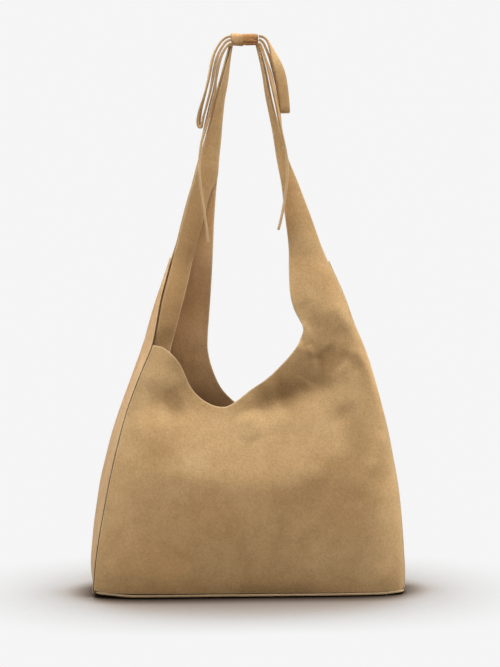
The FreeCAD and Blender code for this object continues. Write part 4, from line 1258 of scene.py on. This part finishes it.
# ---------------------------------------------------------------- bow
# x, y, z, width share, turn in degrees
LEFT_LOOP = table("""
    -22.4 -8.0 672.6 .42 0, -26.5 -8.2 672.2 .5 0, -30.5 -8.4 670.3 .6 0,
    -34.5 -8.7 666.9 .7 0, -38.5 -9.0 661.5 .8 0, -42.4 -9.3 654.5 .9 0, -45.7 -9.6 644.4 1 0,
    -48.1 -10 632.5 1 0, -50.4 -10 620.6 1 0, -53.3 -10 608.7 1 2, -56.3 -10 597.9 1 6,
    -59.2 -10 588.4 1 12, -61.3 -10 578.9 1 18, -62.4 -10 570.5 1 20, -61.6 -10 564.6 1 16,
    -59.7 -10 563.4 1 9, -58.0 -10 568.6 1 5, -56.4 -10 576.5 1 3, -54.1 -10 584.6 1 1,
    -51.3 -10 594.9 1 0, -48.4 -10 606.3 1 0, -45.7 -10 619.4 1 0, -43.6 -10 631.3 1 0,
    -41.0 -9.6 643.2 1 0, -38.0 -9.2 652.0 .85 0, -34.6 -8.8 658.6 .7 0,
    -30.8 -8.4 664.2 .58 0, -26.8 -8.2 667.6 .5 0, -22.4 -8.0 668.8 .42 0""")
LEFT_TAIL = table("""
    -22.8 -8.2 664.5 .42 0, -25.8 -8.3 662.9 .5 0, -29.0 -8.6 659.4 .6 0,
    -32.0 -9.0 654.4 .7 0, -35.0 -9.4 647.6 .8 0, -37.5 -9.9 639.5 .9 0,
    -39.5 -10.5 630.3 1 0, -41.6 -11 620.0 1 0, -44.2 -11 608.2 1 0, -47.3 -11 596.2 1 0,
    -50.5 -11 583.2 1 0, -53.6 -11 570.3 1 0, -56.5 -11 557.4 1 0, -59.1 -11.5 544.2 1 0,
    -60.9 -12 531.1 1 0, -61.4 -12.5 517.9 1 0, -60.8 -13 503.6 1 0, -59.0 -13.5 488.0 1 0,
    -56.9 -14 472.5 1 0, -54.6 -14.5 455.7 1 0, -52.7 -15 441.3 1 0, -50.8 -15 425.7 1 0""")
RIGHT_LOOP = table("""
    10.0 -8.3 672.9 .42 0, 13.2 -8.2 672.8 .5 0, 17.2 -8.8 670.8 .6 4,
    20.8 -9.6 666.6 .72 14, 24.2 -10.8 659.0 .84 30, 27.4 -12.0 650.6 .94 50,
    30.8 -13.2 642.0 1 68, 34.4 -14.2 632.0 1 80, 37.2 -14.8 621.7 1 86,
    39.0 -15.0 609.8 1 89, 40.3 -15.0 597.8 1 90, 41.1 -14.8 588.5 1 90,
    41.4 -13.6 583.4 1 90, 41.3 -11.6 581.6 1 90, 41.0 -9.6 583.4 1 89, 40.4 -8.2 588.6 1 87,
    39.2 -7.2 597.5 1 82, 37.4 -6.8 607.0 1 74, 34.9 -6.7 617.0 1 62, 31.6 -7.0 626.8 1 46,
    27.7 -7.5 636.6 .94 30, 23.8 -8.2 646.4 .85 15, 20.4 -8.6 654.4 .72 5,
    17.5 -8.5 661.2 .6 0, 14.9 -8.2 666.0 .52 0, 12.4 -8.2 668.2 .46 0,
    10.0 -8.3 669.1 .42 0""")
RIGHT_TAIL = table("""
    9.8 -8.2 665.0 .42 0, 11.8 -8.3 663.4 .5 0, 13.6 -8.8 659.2 .6 0, 15.6 -9.5 653.4 .7 4,
    17.9 -10.8 645.6 .82 8, 20.3 -12.4 637.0 .92 11, 22.4 -14.0 628.0 1 13,
    24.8 -15.6 616.5 1 14, 27.6 -16.6 603.9 1 12, 30.5 -17.0 591.0 1 9, 33.3 -16.8 578.0 1 7,
    36.0 -16.0 564.8 1 6, 38.9 -15.0 551.4 1 4, 41.4 -14.3 539.5 1 2, 43.4 -14 527.5 1 0,
    44.2 -14 513.2 1 0, 43.5 -14 497.6 1 0, 41.8 -14 483.2 1 0, 39.6 -14.5 468.8 1 0,
    36.7 -15 454.5 1 0, 33.3 -15 441.3 1 0""")
# width share as measured, and as drawn in where the knot holds the tie
GATHER = table(".42 .27, .5 .28, .6 .34, .7 .44, .8 .62, .9 .82, 1 1")


def hump(z, start, full, leave, end):
    """Rises from 0 to 1 between start and full, and falls again between leave and end."""
    return float(ease(start, full, z)) * float(ease(end, leave, z))


def tie(name, path, seed, shift=lambda z: 0.0, turn=lambda z, angle: angle):
    """One ribbon of the bow; shift moves its path in X and turn changes its angle."""
    path = [(x + shift(z), y, z, float(np.interp(share, *zip(*GATHER))), turn(z, angle))
            for x, y, z, share, angle in path]
    obj = ribbon(name + "_ribbon", path_frames(path, TIE_WIDTH), TIE_THICK, suede_tie,
                 seed=seed)
    install(obj, "tie", name, name)


# each tail snuggles against the inner strand of its loop
tie("left_loop", LEFT_LOOP, seed=0,
    turn=lambda z, angle: angle - 6.0 * hump(z, 606, 630, 650, 662))
tie("left_tail", LEFT_TAIL, seed=1,
    shift=lambda z: 1.1 * hump(z, 548, 562, 606, 622) - 0.3 * hump(z, 622, 634, 655, 668),
    turn=lambda z, angle: (angle - 6.0 * hump(z, 622, 634, 650, 662)
                           - 11.0 * hump(z, 548, 566, 606, 622)))
tie("right_loop", RIGHT_LOOP, seed=2)
tie("right_tail", RIGHT_TAIL, seed=3,
    shift=lambda z: hump(z, 568, 585, 630, 645),
    turn=lambda z, angle: angle + (20.0 - angle) * hump(z, 560, 580, 626, 645))


# ---------------------------------------------------------------- knot
def bell_at(value, centre, width):
    return math.exp(-((value - centre) / width) ** 2)


def knot_creases(u, angle):
    """Step and creases of the outer wrap; u runs 0 to 1 from left to right."""
    slant = 0.07 * math.sin(angle)
    degrees = math.degrees(angle) % 360
    step = 0.75 * (1 - float(ease(0.34, 0.42, u + slant))) - 0.9 * bell_at(u + slant, 0.42, 0.035)
    lower = 0.7 * bell_at(degrees, 232, 9) - 0.9 * bell_at(degrees, 216, 7)
    front = 0.6 * bell_at(degrees, 178 + 40 * (u - 0.7), 8)
    return step + lower * float(ease(0.42, 0.5, u)) - front * float(ease(0.62, 0.8, u))


def knot_wrap():
    """A flat band rolled round the strap ends, spiralling outward."""
    left, right = -22.6, 9.2
    radius_y, radius_z = 6.6, 7.6
    turns, thick, start = 1.35, 1.5, math.radians(-128)
    columns, steps = 30, int(64 * turns)
    power = 2.0 / 2.7                  # a little squarer than round
    noise = Noise(9, 5)
    verts, edge = [], []
    for depth in (0.0, thick):
        for i in range(columns + 1):
            u = i / columns
            x = left + (right - left) * u
            end = 1 - 0.10 * (abs(2 * u - 1) ** 5)
            for j in range(steps + 1):
                f = j / steps
                angle = start + 2 * math.pi * turns * f
                size = (1 - 0.27 * (1 - f)) * end
                y = radius_y * size * signed_power(math.cos(angle), power)
                z = radius_z * size * signed_power(math.sin(angle), power)
                rise = 0.35 * float(noise(x, f * 40.0)) - depth
                if f > 0.25:
                    rise += knot_creases(u, angle)
                grow = 1 + rise / math.hypot(y, z)
                sway = 0.7 * math.sin(angle + (0 if u < 0.5 else 2)) * (2 * u - 1)
                verts.append((x + sway, KNOT_Y + y * grow, KNOT_Z + z * grow))
                edge.append(min(min(i, columns - i) * (right - left) / columns,
                                min(j, steps - j) * 1.2))

    def at(side, i, j):
        return (side * (columns + 1) + i) * (steps + 1) + j

    faces = []
    for i in range(columns):
        for j in range(steps):
            faces.append((at(0, i, j), at(0, i + 1, j), at(0, i + 1, j + 1), at(0, i, j + 1)))
            faces.append((at(1, i, j), at(1, i, j + 1), at(1, i + 1, j + 1), at(1, i + 1, j)))
    n = columns
    for j in range(steps):
        faces.append((at(0, 0, j), at(0, 0, j + 1), at(1, 0, j + 1), at(1, 0, j)))
        faces.append((at(0, n, j), at(1, n, j), at(1, n, j + 1), at(0, n, j + 1)))
    n = steps
    for i in range(columns):
        faces.append((at(0, i, 0), at(1, i, 0), at(1, i + 1, 0), at(0, i + 1, 0)))
        faces.append((at(0, i, n), at(0, i + 1, n), at(1, i + 1, n), at(1, i, n)))
    obj = new_object("knot_wrap_roll", np.array(verts), faces, (suede_knot,), edge)
    install(obj, "tie", "strap", "knot_wrap")


def knot_core():
    """The strap ends held inside the wrap."""
    frames = []
    for u in np.arange(18) / 17:
        centre = np.array([-21.8 + 30.2 * u, KNOT_Y, KNOT_Z + 0.4 * math.sin(u * 9)])
        frames.append((centre, np.array([0, 0, 1.0]), np.array([0, 1.0, 0]),
                       3.9 - 0.8 * abs(2 * u - 1) ** 4))
    obj = ribbon("knot_core_layers", frames, thick=5.6, material=suede_inner, lump=0.2, seed=9)
    install(obj, "suede", "strap", "knot_core")


knot_wrap()
knot_core()

# ---------------------------------------------------------------- pieces kept from the frame
BRASS_PIECES = {"zip_end_stops", "zip_slider", "zip_pull", "snap_socket", "snap_stud",
                "snap_front_washer", "snap_back_washer"}


def piece_material(name):
    if name.startswith("zip_coil"):
        return coil
    if name.startswith("zip_tape"):
        return tape
    if name in BRASS_PIECES:
        return brass
    return board if name == "base_board" else lining


for name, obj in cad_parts.items():
    if obj.hide_render:
        continue
    if len(obj.material_slots) == 0:
        obj.data.materials.append(piece_material(name))
    for slot in obj.material_slots:
        slot.material = piece_material(name)

# ---------------------------------------------------------------- studio, in metres
BACKDROP = (0.915, 0.915, 0.915, 1)


def stage_floor():
    """Floor that shows the camera the backdrop, darkened by contact and wide shade."""
    bpy.ops.mesh.primitive_plane_add(size=8.0, location=(0, 0, -0.0002))
    floor = bpy.context.object
    floor.name = "stage_floor"
    material, graph, shader = new_material("stage_floor_mat")
    graph.fill(shader, {"Base Color": (0.42, 0.415, 0.41, 1), "Roughness": 0.9,
                        "Specular IOR Level": 0.05})
    colour = BACKDROP
    # occlusion distance, stops from covered to open
    for distance, stops in (
            (0.035, [(0.0, (0.012, 0.007, 0.004)), (0.30, (0.05, 0.035, 0.025)),
                     (0.50, (0.30, 0.25, 0.22)), (0.75, (0.72, 0.69, 0.66)), (0.98, WHITE)]),
            (0.20, [(0.0, (0.15, 0.125, 0.105)), (0.42, (0.25, 0.21, 0.18)),
                    (0.62, (0.41, 0.34, 0.285)), (0.70, (0.515, 0.435, 0.37)),
                    (0.76, (0.62, 0.56, 0.515)), (0.82, (0.735, 0.705, 0.68)),
                    (0.89, (0.86, 0.855, 0.85)), (0.97, WHITE)])):
        open_share = graph.node("AmbientOcclusion", {"Distance": distance}, samples=12)
        shade = graph.ramp(open_share.outputs["AO"], stops)
        colour = graph.mix(1.0, colour, shade, "MULTIPLY")
    glow = graph.node("Emission", {0: colour, "Strength": 1.0})
    graph.camera_split(seen=glow, unseen=shader)
    floor.data.materials.append(material)


def studio_world():
    """The camera sees the backdrop; the bag gets a dim fill."""
    world = bpy.data.worlds.new("studio")
    bpy.context.scene.world = world
    graph = Graph(world, "OutputWorld")
    seen = graph.node("Background", {"Color": BACKDROP, "Strength": 1.0})
    fill = graph.node("Background", {"Color": (1.0, 0.99, 0.98, 1), "Strength": 0.12})
    graph.camera_split(seen=seen, unseen=fill)


def aim(obj, location, direction):
    obj.location = location
    obj.rotation_mode = "QUATERNION"
    obj.rotation_quaternion = direction.to_track_quat("-Z", "Y")
    bpy.context.scene.collection.objects.link(obj)


def area(name, location, target_z, size, power):
    """Area light aimed at a point on the Z axis."""
    light = bpy.data.lights.new(name, "AREA")
    light.shape = "RECTANGLE"
    light.size, light.size_y = size
    light.energy = power
    obj = bpy.data.objects.new(name, light)
    obj.visible_camera = False
    aim(obj, location, Vector((0, 0, target_z)) - Vector(location))


def studio_camera():
    turn, rise, distance = math.radians(-3.0), math.radians(4.0), 2.5
    camera = bpy.data.cameras.new("camera")
    obj = bpy.data.objects.new("camera", camera)
    back = Vector((math.sin(turn) * math.cos(rise), -math.cos(turn) * math.cos(rise),
                   math.sin(rise)))
    aim(obj, Vector((0, 0, 0.3155)) + back * distance, -back)
    camera.sensor_width = 36.0
    camera.lens = 111.184408
    camera.clip_start, camera.clip_end = 0.05, 50
    bpy.context.scene.camera = obj


stage_floor()
studio_world()
area("top", location=(0.0, -0.2, 1.65), target_z=0.25, size=(2.2, 1.5), power=38.0)
area("top_front", location=(0.0, -1.3, 1.5), target_z=0.35, size=(2.2, 0.9), power=2.0)
area("front", location=(0.0, -2.9, 0.9), target_z=0.3, size=(2.4, 1.2), power=2.0)
area("side_left", location=(-1.3, -0.35, 0.75), target_z=0.28, size=(0.9, 1.3), power=4.0)
area("side_right", location=(1.3, 0.2, 0.8), target_z=0.28, size=(0.9, 1.3), power=9.0)
area("back", location=(0.3, 1.8, 1.4), target_z=0.3, size=(1.8, 1.0), power=8.0)
studio_camera()
view = bpy.context.scene.view_settings
view.view_transform = "Standard"
view.look = "None"
view.exposure = 0.0
view.gamma = 1.0
